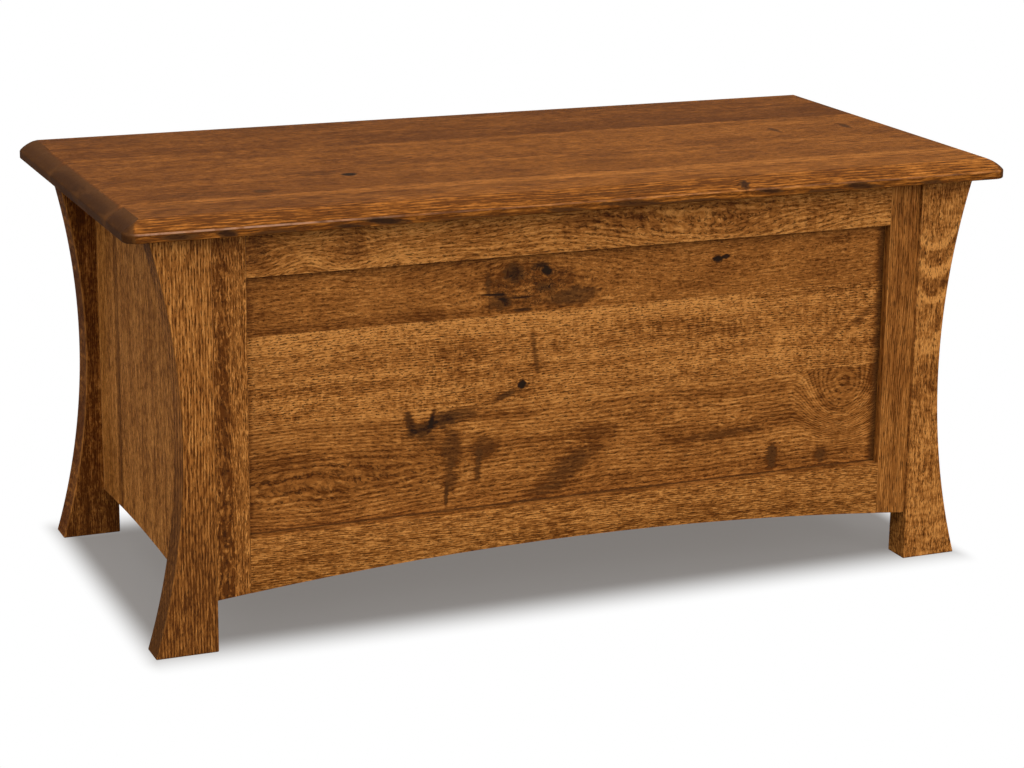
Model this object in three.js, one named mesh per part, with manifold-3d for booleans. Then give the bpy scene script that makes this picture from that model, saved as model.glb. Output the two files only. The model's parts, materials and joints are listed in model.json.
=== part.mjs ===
// An oak blanket chest: four legs with hollowed outer edges, panelled front and back frames on a low
// arch, board sides, and a bevelled lid on two butt hinges with a pair of parallel-arm lid stays.
// Lengths are millimetres. X runs to the right, Y to the back and Z up from the floor.
import * as THREE from "three";
import { mergeVertices } from "three/addons/utils/BufferGeometryUtils.js";
import Module from "manifold-3d";

// Case, over the legs
const caseWidth = 1060;
const caseDepth = 494;
const caseHeight = 494.5;

// Legs: the outer edge is one hollow arc from foot to top
const legThickness = 38;
const legFootWidth = 75;
const legWaistWidth = 37.5;
const legWaistHeight = 252;
const legEasing = 1.5;

// Front and back frames between the legs
const frameThickness = 25;
const frameSetback = 5;
const stileWidth = 41;
const topRailWidth = 55;
const bottomRailTop = 132;
const archEndHeight = 61;
const frameArchRise = 24;

// Flat panels of glued boards, held in a groove round the frame
const panelThickness = 8;
const panelRecess = 13;
const grooveDepth = 9;
const tenonShoulder = 4;
const frontSeamShares = [0.416, 0.764];
const backSeamShares = [0.31, 0.655];

// Sides: upright boards, tongued into the legs
const sideThickness = 20;
const sideArchRise = 7;
const sideBoardCount = 4;
const sideTongueThickness = 8;
const sideTongueLength = 8;
const sideTongueStop = 14;

// Bottom panel on cleats
const bottomThickness = 12;
const bottomHeight = 110;
const cleatSize = 20;

// Lid of glued boards, with a crowned bevel above a square rim
const lidOverhangFront = 28;
const lidOverhangRear = 18;
const lidOverhangSide = 29;
const lidRim = 10;
const lidBevelDrop = 13.5;
const lidBevelWidth = 21;
const lidCornerRadius = 17;
const lidTopCornerRadius = 1;
const lidUnderEasing = 1;
const lidSeat = 0.5;
const lidSeamShares = [0.157, 0.398, 0.657, 0.833];
const bevelCrownWidthShare = 0.36;
const bevelCrownDropShare = 0.62;

// Battens under the lid
const battenInset = 165;
const battenWidth = 60;
const battenThickness = 18;
const battenChamfer = 9;
const battenEndSpace = 17;

// Butt hinges, let into the back top rail
const hingeInset = 84;
const hingeLength = 64;
const leafWidth = 26;
const leafThickness = 2;
const leafSpacing = 0.6;
const knuckleRadius = 4;
const knuckleCount = 5;
const knuckleEndSpace = 0.2;
const hingePinRadius = 2;
const hingePinHeadRadius = 3.2;
const hingePinHeadThickness = 1.4;
const hingeScrewCount = 3;

// Lid stays: the arm stays parallel to the lid and the link to the line between the fixed pivots
const stayReach = 165;
const stayLidDrop = 12;
const stayForward = 67;
const stayDrop = 60;
const stayPlateThickness = 2.5;
const stayPlateWidth = 44;
const stayPlateHeight = 72;
const stayPlateCorner = 6;
const damperRadius = 17;
const damperLength = 11.5;
const armThickness = 3;
const armWidth = 16;
const linkThickness = 2.5;
const linkWidth = 14;
const layerSpace = 0.3;
const stayPinRadius = 3;
const stayPinHeadRadius = 5.5;
const stayPinHeadThickness = 1.8;
const bracketThickness = 2.5;
const bracketLength = 50;
const bracketFlange = 22;
const bracketLugRadius = 9;

// Fits and workmanship
const glueLine = 0.1;
const grooveFit = 0.2;
const tongueEndSpace = 0.5;
const mortiseFit = 0.3;
const runningFit = 0.1;
const screwHoleRadius = 2;
const screwHeadRadius = 3.8;
const screwInset = 8;
const overrun = 5;
const weldTolerance = 0.0005;

// Facets
const legCurveSegments = 12;
const archSegmentLength = 55;
const cornerSegments = 6;
const bevelSegments = 6;
const barrelFacets = 24;
const pinFacets = 20;
const cornerFacets = 5;
const holeFacets = 16;
const easingSegments = 2;

// Places that follow from the sizes above
const legInner = caseWidth / 2 - legFootWidth;
const frontFace = -caseDepth / 2;
const backFace = caseDepth / 2;
const frameFront = frontFace + frameSetback;
const frameRear = frameFront + frameThickness;
const openingHalf = legInner - stileWidth;
const openingTop = caseHeight - topRailWidth;
const openingBottom = bottomRailTop;
const panelFront = frameFront + panelRecess;
const sideFront = frontFace + legThickness;
const lidUnderside = caseHeight + lidSeat;
const lidFront = frontFace - lidOverhangFront;
const lidBack = backFace + lidOverhangRear;
const battenOffset = legInner - battenInset;
const hingeOffset = openingHalf - hingeInset;
const hingeAxisY = backFace;
const lidLeafTop = lidUnderside - glueLine;
const lidLeafBottom = lidLeafTop - leafThickness;
const caseLeafBottom = lidLeafBottom - leafSpacing - leafThickness;
const hingeAxisZ = lidUnderside - layerSpace - knuckleRadius;

const oak = {
  leg: { color: 0x93591f, roughness: 0.5, metalness: 0 },
  frame: { color: 0x8a5322, roughness: 0.5, metalness: 0 },
  panel: { color: 0x9a6226, roughness: 0.5, metalness: 0 },
  side: { color: 0x86541f, roughness: 0.5, metalness: 0 },
  lid: { color: 0x7d4a20, roughness: 0.42, metalness: 0 },
  inner: { color: 0xb08350, roughness: 0.7, metalness: 0 },
};
const agedBrass = { color: 0x6f5a36, roughness: 0.38, metalness: 1 };
const blackSteel = { color: 0x26262a, roughness: 0.45, metalness: 1 };
const brightSteel = { color: 0xa8a8ac, roughness: 0.3, metalness: 1 };

const wasm = await Module();
wasm.setup();

// Cutting and joining

function toSolid(geometry) {
  const bare = geometry.clone();
  bare.deleteAttribute("normal");
  bare.deleteAttribute("uv");
  const merged = mergeVertices(bare, weldTolerance);
  return new wasm.Manifold(new wasm.Mesh({
    numProp: 3,
    vertProperties: new Float32Array(merged.attributes.position.array),
    triVerts: new Uint32Array(merged.index.array),
  }));
}

function toGeometry(solid) {
  const mesh = solid.getMesh();
  const geometry = new THREE.BufferGeometry();
  geometry.setAttribute("position", new THREE.BufferAttribute(mesh.vertProperties, 3));
  geometry.setIndex(new THREE.BufferAttribute(mesh.triVerts, 1));
  return geometry;
}

function join(...geometries) {
  return toGeometry(geometries.map(toSolid).reduce((whole, next) => whole.add(next)));
}

function cut(blank, ...tools) {
  return toGeometry(tools.map(toSolid).reduce((whole, tool) => whole.subtract(tool), toSolid(blank)));
}

function common(first, second) {
  return toGeometry(toSolid(first).intersect(toSolid(second)));
}

// Blanks

function block([x0, x1], [y0, y1], [z0, z1]) {
  const geometry = new THREE.BoxGeometry(x1 - x0, y1 - y0, z1 - z0);
  return geometry.translate((x0 + x1) / 2, (y0 + y1) / 2, (z0 + z1) / 2);
}

// An outline drawn in X and Z, standing with its rear face at the given depth
function standing(outline, thickness, rear, segments, easing = 0) {
  const geometry = new THREE.ExtrudeGeometry(outline, {
    depth: thickness - 2 * easing,
    curveSegments: segments,
    bevelEnabled: easing > 0,
    bevelThickness: easing,
    bevelSize: easing,
    bevelOffset: -easing,
    bevelSegments: easingSegments,
  });
  return geometry.rotateX(Math.PI / 2).translate(0, rear - easing, 0);
}

// An outline drawn in Y and Z, its thickness running from one place on X to another
function upright(outline, [from, to], segments) {
  const geometry = new THREE.ExtrudeGeometry(outline, {
    depth: to - from,
    curveSegments: segments,
    bevelEnabled: false,
  });
  const alongX = new THREE.Matrix4().makeBasis(
    new THREE.Vector3(0, 1, 0), new THREE.Vector3(0, 0, 1), new THREE.Vector3(1, 0, 0));
  return geometry.applyMatrix4(alongX).translate(from, 0, 0);
}

function rod(radius, [from, to], y, z, facets) {
  const geometry = new THREE.CylinderGeometry(radius, radius, to - from, facets);
  return geometry.rotateZ(Math.PI / 2).translate((from + to) / 2, y, z);
}

// A countersunk screw hole through a plate: widest at its exposed face, which looks along outward
function screwHole(exposed, outward, thickness) {
  const slope = (screwHeadRadius - screwHoleRadius) / thickness;
  const geometry = new THREE.CylinderGeometry(
    screwHeadRadius + slope * layerSpace, screwHoleRadius - slope * layerSpace,
    thickness + 2 * layerSpace, holeFacets);
  const turn = new THREE.Quaternion().setFromUnitVectors(new THREE.Vector3(0, 1, 0), outward);
  return geometry.translate(0, -thickness / 2, 0).applyQuaternion(turn).translate(...exposed);
}

// A pin along X with a head at each end, turned as one profile
function headedPin(radius, headRadius, headThickness, [from, to], y, z) {
  const profile = [
    new THREE.Vector2(0, from),
    new THREE.Vector2(headRadius, from),
    new THREE.Vector2(headRadius, from + headThickness),
    new THREE.Vector2(radius, from + headThickness),
    new THREE.Vector2(radius, to - headThickness),
    new THREE.Vector2(headRadius, to - headThickness),
    new THREE.Vector2(headRadius, to),
    new THREE.Vector2(0, to),
  ];
  return new THREE.LatheGeometry(profile, pinFacets).rotateZ(-Math.PI / 2).translate(0, y, z);
}

// The same piece for the other hand: a reflection turns faces inside out, so two corners change places
function mirrored(geometry, [x, y]) {
  const copy = geometry.index ? geometry.toNonIndexed() : geometry.clone();
  copy.deleteAttribute("normal");
  copy.deleteAttribute("uv");
  copy.scale(x, y, 1);
  if (x * y < 0) {
    const corner = copy.attributes.position;
    const kept = new THREE.Vector3();
    const swapped = new THREE.Vector3();
    for (let first = 0; first < corner.count; first += 3) {
      kept.fromBufferAttribute(corner, first + 1);
      swapped.fromBufferAttribute(corner, first + 2);
      corner.setXYZ(first + 1, swapped.x, swapped.y, swapped.z);
      corner.setXYZ(first + 2, kept.x, kept.y, kept.z);
    }
  }
  return copy;
}

// Arches: a board whose lower edge follows one large circle

function archOver(halfSpan, rise) {
  const radius = (halfSpan ** 2 + rise ** 2) / (2 * rise);
  const centre = archEndHeight + rise - radius;
  return {
    radius,
    centre,
    angleAt: (place) => Math.acos(place / radius),
    heightAt: (place) => centre + Math.sqrt(radius ** 2 - place ** 2),
  };
}

function archedOutline(arch, [from, to], top) {
  const outline = new THREE.Shape();
  outline.moveTo(to, top);
  outline.lineTo(from, top);
  outline.absarc(0, arch.centre, arch.radius, arch.angleAt(from), arch.angleAt(to), true);
  return outline;
}

function archSegments([from, to]) {
  return Math.max(1, Math.round((to - from) / archSegmentLength / 2));
}

// Legs

function legOutline() {
  const hollow = legFootWidth - legWaistWidth;
  const radius = (hollow ** 2 + legWaistHeight ** 2) / (2 * hollow);
  const footAngle = Math.asin(legWaistHeight / radius);
  const topAngle = Math.asin((caseHeight - legWaistHeight) / radius);
  const centre = legInner + legWaistWidth + radius;
  const outline = new THREE.Shape();
  outline.moveTo(legInner, caseHeight);
  outline.lineTo(legInner, 0);
  outline.absarc(centre, legWaistHeight, radius, Math.PI + footAngle, Math.PI - topAngle, true);
  return outline;
}

const tongueCentre = legInner + sideThickness / 2;

function frontRightLeg() {
  const blank = standing(legOutline(), legThickness, sideFront, legCurveSegments, legEasing);
  const groove = block(
    [tongueCentre - sideTongueThickness / 2 - grooveFit, tongueCentre + sideTongueThickness / 2 + grooveFit],
    [sideFront - sideTongueLength - tongueEndSpace, sideFront + overrun],
    [archEndHeight + sideTongueStop - tongueEndSpace, caseHeight + overrun]);
  return cut(blank, groove);
}

// Front frame, which the back frame repeats

const frameArch = archOver(legInner, frameArchRise);
const groovePlaces = [panelFront - grooveFit, panelFront + panelThickness + grooveFit];
const tongueHalf = openingHalf + grooveDepth - tongueEndSpace;

function rightStile() {
  const places = [openingHalf, legInner - glueLine];
  const outline = archedOutline(frameArch, places, caseHeight);
  const blank = standing(outline, frameThickness, frameRear, archSegments(places));
  const groove = block(
    [openingHalf - overrun, openingHalf + grooveDepth], groovePlaces, [0, caseHeight + overrun]);
  return cut(blank, groove);
}

function topRail() {
  const half = openingHalf - glueLine;
  const body = block([-half, half], [frameFront, frameRear], [openingTop, caseHeight]);
  const tenon = block(
    [-tongueHalf, tongueHalf],
    [panelFront, panelFront + panelThickness],
    [openingTop + grooveDepth, caseHeight]);
  const groove = block(
    [-caseWidth, caseWidth], groovePlaces, [openingTop - overrun, openingTop + grooveDepth]);
  return cut(join(body, tenon), groove);
}

function bottomRail() {
  const half = openingHalf - glueLine;
  const outline = archedOutline(frameArch, [-half, half], openingBottom);
  const body = standing(outline, frameThickness, frameRear, archSegments([-half, half]));
  const tenon = block(
    [-tongueHalf, tongueHalf],
    [panelFront, panelFront + panelThickness],
    [frameArch.heightAt(0) + tenonShoulder, openingBottom - grooveDepth]);
  const groove = block(
    [-caseWidth, caseWidth], groovePlaces, [openingBottom - grooveDepth, openingBottom + overrun]);
  return cut(join(body, tenon), groove);
}

// Boards glued edge to edge fill the groove from the bottom rail to the top rail
function panelBoards(seamShares) {
  const low = openingBottom - grooveDepth + tongueEndSpace;
  const high = openingTop + grooveDepth - tongueEndSpace;
  const seams = seamShares.map((share) => openingBottom + share * (openingTop - openingBottom));
  const edges = [low - glueLine / 2, ...seams, high + glueLine / 2];
  return edges.slice(1).map((edge, index) => block(
    [-tongueHalf, tongueHalf],
    [panelFront, panelFront + panelThickness],
    [edges[index] + glueLine / 2, edge - glueLine / 2]));
}

// Mortises for the closed hinges go through the rear edge of the back top rail
function hingedTopRail(rail) {
  const mortises = [-hingeOffset, hingeOffset].map((centre) => block(
    [centre - hingeLength / 2 - mortiseFit, centre + hingeLength / 2 + mortiseFit],
    [hingeAxisY - leafWidth - mortiseFit, backFace],
    [caseLeafBottom - glueLine, caseHeight + overrun]));
  return cut(rail, ...mortises);
}

// Sides

const sideHalf = -sideFront - glueLine;
const sideArch = archOver(-sideFront, sideArchRise);

function rightSideBoards() {
  const width = 2 * sideHalf / sideBoardCount;
  const tonguePlaces = [tongueCentre - sideTongueThickness / 2, tongueCentre + sideTongueThickness / 2];
  const tongueHeights = [archEndHeight + sideTongueStop, caseHeight];
  const tongueReach = sideTongueLength + glueLine;
  return Array.from({ length: sideBoardCount }, (_, index) => {
    const low = index * width - sideHalf;
    const places = [low + glueLine / 2, low + width - glueLine / 2];
    const outline = archedOutline(sideArch, places, caseHeight);
    const board = upright(outline, [legInner, legInner + sideThickness], archSegments(places));
    if (index === 0) {
      return join(board, block(tonguePlaces, [places[0] - tongueReach, places[1]], tongueHeights));
    }
    if (index === sideBoardCount - 1) {
      return join(board, block(tonguePlaces, [places[0], places[1] + tongueReach], tongueHeights));
    }
    return board;
  });
}

// Bottom

const interiorHalfDepth = -frameRear - glueLine;
const interiorHalfWidth = legInner - glueLine;
const cleatTop = bottomHeight - glueLine;

function bottomPanel() {
  return block(
    [-interiorHalfWidth, interiorHalfWidth],
    [-interiorHalfDepth, interiorHalfDepth],
    [bottomHeight, bottomHeight + bottomThickness]);
}

function frontCleat() {
  return block(
    [-openingHalf, openingHalf],
    [-interiorHalfDepth, cleatSize - interiorHalfDepth],
    [cleatTop - cleatSize, cleatTop]);
}

function rightCleat() {
  const half = interiorHalfDepth - cleatSize - glueLine;
  return block(
    [interiorHalfWidth - cleatSize, interiorHalfWidth],
    [-half, half],
    [cleatTop - cleatSize, cleatTop]);
}

// Lid

function roundedRing(inset, height) {
  const radius = Math.max(lidCornerRadius - inset, lidTopCornerRadius);
  const halfWidth = caseWidth / 2 + lidOverhangSide - inset;
  const centres = [
    [halfWidth - radius, lidBack - inset - radius],
    [radius - halfWidth, lidBack - inset - radius],
    [radius - halfWidth, lidFront + inset + radius],
    [halfWidth - radius, lidFront + inset + radius],
  ];
  return centres.flatMap(([x, y], corner) => Array.from({ length: cornerSegments + 1 }, (_, step) => {
    const angle = (corner + step / cornerSegments) * Math.PI / 2;
    return [x + radius * Math.cos(angle), y + radius * Math.sin(angle), height];
  }));
}

// Skins rings of equal counts from the lowest to the highest, and closes both ends
function loft(rings) {
  const count = rings[0].length;
  const faces = [];
  for (let level = 0; level + 1 < rings.length; level += 1) {
    for (let place = 0; place < count; place += 1) {
      const a = level * count + place;
      const b = level * count + (place + 1) % count;
      faces.push(a, b, b + count, a, b + count, a + count);
    }
  }
  const last = (rings.length - 1) * count;
  for (let place = 1; place + 1 < count; place += 1) {
    faces.push(0, place + 1, place);
    faces.push(last, last + place, last + place + 1);
  }
  const geometry = new THREE.BufferGeometry();
  geometry.setAttribute("position", new THREE.Float32BufferAttribute(rings.flat(2), 3));
  geometry.setIndex(faces);
  return geometry;
}

function lidBlank() {
  const rimTop = lidUnderside + lidRim;
  const bevel = new THREE.QuadraticBezierCurve(
    new THREE.Vector2(0, rimTop),
    new THREE.Vector2(bevelCrownWidthShare * lidBevelWidth, rimTop + bevelCrownDropShare * lidBevelDrop),
    new THREE.Vector2(lidBevelWidth, rimTop + lidBevelDrop));
  return loft([
    roundedRing(lidUnderEasing, lidUnderside),
    roundedRing(0, lidUnderside + lidUnderEasing),
    ...bevel.getPoints(bevelSegments).map((point) => roundedRing(point.x, point.y)),
  ]);
}

function lidBoards() {
  const blank = lidBlank();
  const depth = lidBack - lidFront;
  const seams = lidSeamShares.map((share) => lidFront + share * depth);
  const edges = [lidFront - overrun, ...seams, lidBack + overrun];
  return edges.slice(1).map((edge, index) => common(blank, block(
    [-caseWidth, caseWidth],
    [edges[index] + glueLine / 2, edge - glueLine / 2],
    [lidUnderside - overrun, lidUnderside + lidRim + lidBevelDrop + overrun])));
}

function rightBatten() {
  const half = interiorHalfDepth - battenEndSpace;
  const top = lidUnderside - glueLine;
  const outline = new THREE.Shape();
  outline.moveTo(-half, top);
  outline.lineTo(-half, top - battenThickness + battenChamfer);
  outline.lineTo(battenChamfer - half, top - battenThickness);
  outline.lineTo(half - battenChamfer, top - battenThickness);
  outline.lineTo(half, top - battenThickness + battenChamfer);
  outline.lineTo(half, top);
  return upright(outline, [battenOffset - battenWidth / 2, battenOffset + battenWidth / 2], 1);
}

// Hinges, made for the right and mirrored

function hingeLeaf(ownKnuckles, plateBottom, facing) {
  const start = hingeOffset - hingeLength / 2;
  const pitch = hingeLength / knuckleCount;
  const plateHeights = [plateBottom, plateBottom + leafThickness];
  const plateBack = hingeAxisY - knuckleRadius - layerSpace;
  const pieces = [block([start, start + hingeLength], [hingeAxisY - leafWidth, plateBack], plateHeights)];
  for (const index of ownKnuckles) {
    const places = [
      start + index * pitch + knuckleEndSpace / 2,
      start + (index + 1) * pitch - knuckleEndSpace / 2,
    ];
    pieces.push(block(places, [plateBack - leafThickness, hingeAxisY], plateHeights));
    pieces.push(rod(knuckleRadius, places, hingeAxisY, hingeAxisZ, barrelFacets));
  }
  const bore = rod(
    hingePinRadius + runningFit,
    [start - overrun, start + hingeLength + overrun], hingeAxisY, hingeAxisZ, pinFacets);
  const screwPitch = hingeLength / hingeScrewCount;
  const screwY = hingeAxisY - leafWidth + screwInset;
  const exposedFace = facing > 0 ? plateBottom + leafThickness : plateBottom;
  const holes = Array.from({ length: hingeScrewCount }, (_, index) => screwHole(
    [start + (index + 1 / 2) * screwPitch, screwY, exposedFace],
    new THREE.Vector3(0, 0, facing), leafThickness));
  return cut(join(...pieces), bore, ...holes);
}

function hingePin() {
  const reach = hingeLength / 2 + hingePinHeadThickness + layerSpace / 2;
  return headedPin(
    hingePinRadius, hingePinHeadRadius, hingePinHeadThickness,
    [hingeOffset - reach, hingeOffset + reach], hingeAxisY, hingeAxisZ);
}

const everyKnuckle = Array.from({ length: knuckleCount }, (_, index) => index);
const caseKnuckles = everyKnuckle.filter((index) => index % 2 === 0);
const lidKnuckles = everyKnuckle.filter((index) => index % 2 === 1);

// Lid stays, made for the right and mirrored. Each layer is measured inward from the side board.

const casePivot = new THREE.Vector2(hingeAxisY - stayForward, hingeAxisZ - stayDrop);
const lidPivot = new THREE.Vector2(hingeAxisY - stayReach, lidUnderside - stayLidDrop);
const elbow = new THREE.Vector2(lidPivot.x - stayForward, lidPivot.y - stayDrop);
const plateLayer = glueLine + stayPlateThickness;
const damperLayer = plateLayer + damperLength;
const armOuter = damperLayer + layerSpace;
const armInner = armOuter + armThickness;
const linkOuter = armInner + layerSpace;
const linkInner = linkOuter + linkThickness;
const bracketOuter = linkInner + layerSpace;
const bracketInner = bracketOuter + bracketThickness;

function layer(outer, inner) {
  return [legInner - inner, legInner - outer];
}

function pinHole(centre) {
  const hole = new THREE.Path();
  hole.absarc(centre.x, centre.y, stayPinRadius + runningFit, 0, 2 * Math.PI, false);
  return hole;
}

// A flat bar with round ends about two pivots, bored for a pin at each
function pivotBar(start, end, width, places) {
  const heading = Math.atan2(end.y - start.y, end.x - start.x);
  const outline = new THREE.Shape();
  outline.absarc(end.x, end.y, width / 2, heading - Math.PI / 2, heading + Math.PI / 2, false);
  outline.absarc(start.x, start.y, width / 2, heading + Math.PI / 2, heading + 3 * Math.PI / 2, false);
  outline.holes.push(pinHole(start), pinHole(end));
  return upright(outline, places, pinFacets / 2);
}

function stayCasePlate() {
  const halfWidth = stayPlateWidth / 2 - stayPlateCorner;
  const halfHeight = stayPlateHeight / 2 - stayPlateCorner;
  const outline = new THREE.Shape();
  const turns = [[1, 1], [-1, 1], [-1, -1], [1, -1]];
  turns.forEach(([across, up], index) => outline.absarc(
    casePivot.x + across * halfWidth, casePivot.y + up * halfHeight, stayPlateCorner,
    index * Math.PI / 2, (index + 1) * Math.PI / 2, false));
  const plate = upright(outline, layer(glueLine, plateLayer), cornerFacets);
  const damper = rod(damperRadius, layer(glueLine + stayPlateThickness / 2, damperLayer),
    casePivot.x, casePivot.y, barrelFacets);
  const bore = rod(stayPinRadius + runningFit, layer(plateLayer, damperLayer + overrun),
    casePivot.x, casePivot.y, pinFacets);
  const holes = [-1, 1].map((up) => screwHole(
    [legInner - plateLayer, casePivot.x, casePivot.y + up * (stayPlateHeight / 2 - screwInset)],
    new THREE.Vector3(-1, 0, 0), stayPlateThickness));
  return cut(join(plate, damper), bore, ...holes);
}

function stayLidBracket() {
  const top = lidUnderside - glueLine;
  const web = new THREE.Shape();
  web.moveTo(lidPivot.x + bracketLength / 2, top);
  web.lineTo(lidPivot.x - bracketLength / 2, top);
  web.absarc(lidPivot.x, lidPivot.y, bracketLugRadius, Math.PI, 2 * Math.PI, false);
  web.holes.push(pinHole(lidPivot));
  const flange = block(
    layer(bracketOuter, bracketOuter + bracketFlange),
    [lidPivot.x - bracketLength / 2, lidPivot.x + bracketLength / 2],
    [top - bracketThickness, top]);
  const screwX = legInner - bracketInner - (bracketFlange - bracketThickness) / 2;
  const holes = [-1, 1].map((along) => screwHole(
    [screwX, lidPivot.x + along * (bracketLength / 2 - screwInset), top - bracketThickness],
    new THREE.Vector3(0, 0, -1), bracketThickness));
  return cut(join(upright(web, layer(bracketOuter, bracketInner), pinFacets / 2), flange), ...holes);
}

function stayPin(pivot, outer, inner) {
  const [from, to] = layer(outer - glueLine, inner + glueLine);
  return headedPin(
    stayPinRadius, stayPinHeadRadius, stayPinHeadThickness,
    [from - stayPinHeadThickness, to + stayPinHeadThickness], pivot.x, pivot.y);
}

// The case pin is headed on the arm only and ends in the damper
function stayCasePin() {
  const [from, to] = layer(plateLayer + layerSpace, armInner + glueLine);
  return join(
    rod(stayPinRadius, [from - stayPinHeadThickness / 2, to], casePivot.x, casePivot.y, pinFacets),
    rod(stayPinHeadRadius, [from - stayPinHeadThickness, from], casePivot.x, casePivot.y, pinFacets));
}

// Assembly

const chest = new THREE.Group();
const caseGroup = new THREE.Group();
const lidGroup = new THREE.Group();
const stayGroup = new THREE.Group();
chest.add(caseGroup, lidGroup, stayGroup);
chest.position.y = (lidOverhangFront - lidOverhangRear) / 2;

function place(group, name, geometry, finish) {
  const surface = geometry.index ? geometry.toNonIndexed() : geometry;
  surface.computeVertexNormals();
  const mesh = new THREE.Mesh(surface, new THREE.MeshStandardMaterial(finish));
  mesh.name = name;
  group.add(mesh);
}

const rightOrLeft = [["right", 1], ["left", -1]];
const frontOrBack = [["front", 1], ["back", -1]];

const leg = frontRightLeg();
const stile = rightStile();
const upperRail = topRail();
const lowerRail = bottomRail();
const lengthwiseCleat = frontCleat();
for (const [end, y] of frontOrBack) {
  for (const [side, x] of rightOrLeft) {
    place(caseGroup, `${end}_${side}_leg`, mirrored(leg, [x, y]), oak.leg);
    place(caseGroup, `${end}_${side}_stile`, mirrored(stile, [x, y]), oak.frame);
  }
  const rail = mirrored(upperRail, [1, y]);
  place(caseGroup, `${end}_top_rail`, y > 0 ? rail : hingedTopRail(rail), oak.frame);
  place(caseGroup, `${end}_bottom_rail`, mirrored(lowerRail, [1, y]), oak.frame);
  place(caseGroup, `${end}_bottom_cleat`, mirrored(lengthwiseCleat, [1, y]), oak.inner);
  panelBoards(y > 0 ? frontSeamShares : backSeamShares).forEach((board, index) => place(
    caseGroup, `${end}_panel_board_${index + 1}`, mirrored(board, [1, y]), oak.panel));
}
place(caseGroup, "bottom_panel", bottomPanel(), oak.inner);

lidBoards().forEach((board, index) => place(lidGroup, `lid_board_${index + 1}`, board, oak.lid));

const sideBoards = rightSideBoards();
const handed = [
  [caseGroup, "bottom_cleat", rightCleat(), oak.inner],
  [lidGroup, "lid_batten", rightBatten(), oak.inner],
  [caseGroup, "hinge_case_leaf", hingeLeaf(caseKnuckles, caseLeafBottom, 1), agedBrass],
  [lidGroup, "hinge_lid_leaf", hingeLeaf(lidKnuckles, lidLeafBottom, -1), agedBrass],
  [caseGroup, "hinge_pin", hingePin(), agedBrass],
  [stayGroup, "stay_case_plate", stayCasePlate(), blackSteel],
  [stayGroup, "stay_arm", pivotBar(casePivot, elbow, armWidth, layer(armOuter, armInner)), blackSteel],
  [stayGroup, "stay_link", pivotBar(elbow, lidPivot, linkWidth, layer(linkOuter, linkInner)), blackSteel],
  [stayGroup, "stay_lid_bracket", stayLidBracket(), blackSteel],
  [stayGroup, "stay_case_pin", stayCasePin(), brightSteel],
  [stayGroup, "stay_elbow_pin", stayPin(elbow, armOuter, linkInner), brightSteel],
  [stayGroup, "stay_lid_pin", stayPin(lidPivot, linkOuter, bracketInner), brightSteel],
];
for (const [side, x] of rightOrLeft) {
  sideBoards.forEach((board, index) => place(
    caseGroup, `${side}_side_board_${index + 1}`, mirrored(board, [x, 1]), oak.side));
  for (const [group, name, geometry, finish] of handed) {
    place(group, `${side}_${name}`, mirrored(geometry, [x, 1]), finish);
  }
}

export default chest;
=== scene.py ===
import json
import math
import random

import bmesh
import bpy
from mathutils import Matrix, Vector

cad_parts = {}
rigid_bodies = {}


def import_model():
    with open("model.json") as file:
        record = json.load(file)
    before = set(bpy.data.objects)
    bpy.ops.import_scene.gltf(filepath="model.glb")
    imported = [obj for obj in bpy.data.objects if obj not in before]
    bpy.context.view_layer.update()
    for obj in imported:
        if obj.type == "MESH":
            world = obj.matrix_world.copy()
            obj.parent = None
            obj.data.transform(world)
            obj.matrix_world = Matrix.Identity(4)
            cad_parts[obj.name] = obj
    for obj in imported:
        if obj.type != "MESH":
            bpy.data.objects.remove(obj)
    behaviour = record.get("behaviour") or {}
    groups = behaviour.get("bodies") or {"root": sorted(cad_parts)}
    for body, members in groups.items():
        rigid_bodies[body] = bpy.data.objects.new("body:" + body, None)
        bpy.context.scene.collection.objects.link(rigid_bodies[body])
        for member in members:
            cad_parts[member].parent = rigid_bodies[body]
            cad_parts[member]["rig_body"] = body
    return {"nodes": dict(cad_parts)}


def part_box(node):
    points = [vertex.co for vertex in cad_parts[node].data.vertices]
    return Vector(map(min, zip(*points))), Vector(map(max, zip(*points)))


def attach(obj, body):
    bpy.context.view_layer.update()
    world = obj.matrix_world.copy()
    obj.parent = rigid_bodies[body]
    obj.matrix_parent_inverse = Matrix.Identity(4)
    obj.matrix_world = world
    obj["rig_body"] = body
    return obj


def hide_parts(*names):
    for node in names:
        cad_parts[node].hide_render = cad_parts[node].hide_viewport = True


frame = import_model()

bl_info = {
    "name": "Oak Blanket Chest",
    "version": (1, 0, 0),
    "blender": (4, 5, 0),
    "location": "View3D > Sidebar > Blanket Chest",
    "description": "Dresses the chest's frame in stained oak, aged brass and black steel",
    "category": "Object",
}

# Lengths are in metres here, and in millimetres within the materials
MILLIMETRE = 0.001
SIDES = ("right", "left")
ENDS = ("front", "back")

# Which way a board lies: its grain, its width and its thickness, each as an axis of the chest
ACROSS_FRONT = ("X", "Z", "Y")
UP_FRONT = ("Z", "X", "Y")
UP_SIDE = ("Z", "Y", "X")
ACROSS_TOP = ("X", "Y", "Z")
FRONT_TO_BACK = ("Y", "X", "Z")

# Meshes: points nearer than WELD are one, and only edges sharper than ARRIS_ABOVE are eased
WELD = 0.00001
LEVEL_WITHIN = 0.0001
FLAT_BELOW = math.radians(0.5)
SMOOTH_BELOW = math.radians(20)
ARRIS_ABOVE = math.radians(35)
EASING_STEPS = 2
NODE_SPACING = 180

# A leg is narrowest at its waist, and the lid's rim stands upright below its bevel
LEG_LOW, LEG_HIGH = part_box("front_right_leg")
LEG_WAIST = 0.0375
LEG_WAIST_HEIGHT = 0.252
LEG_STEPS = 48
LID_RIM = 0.010

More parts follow.
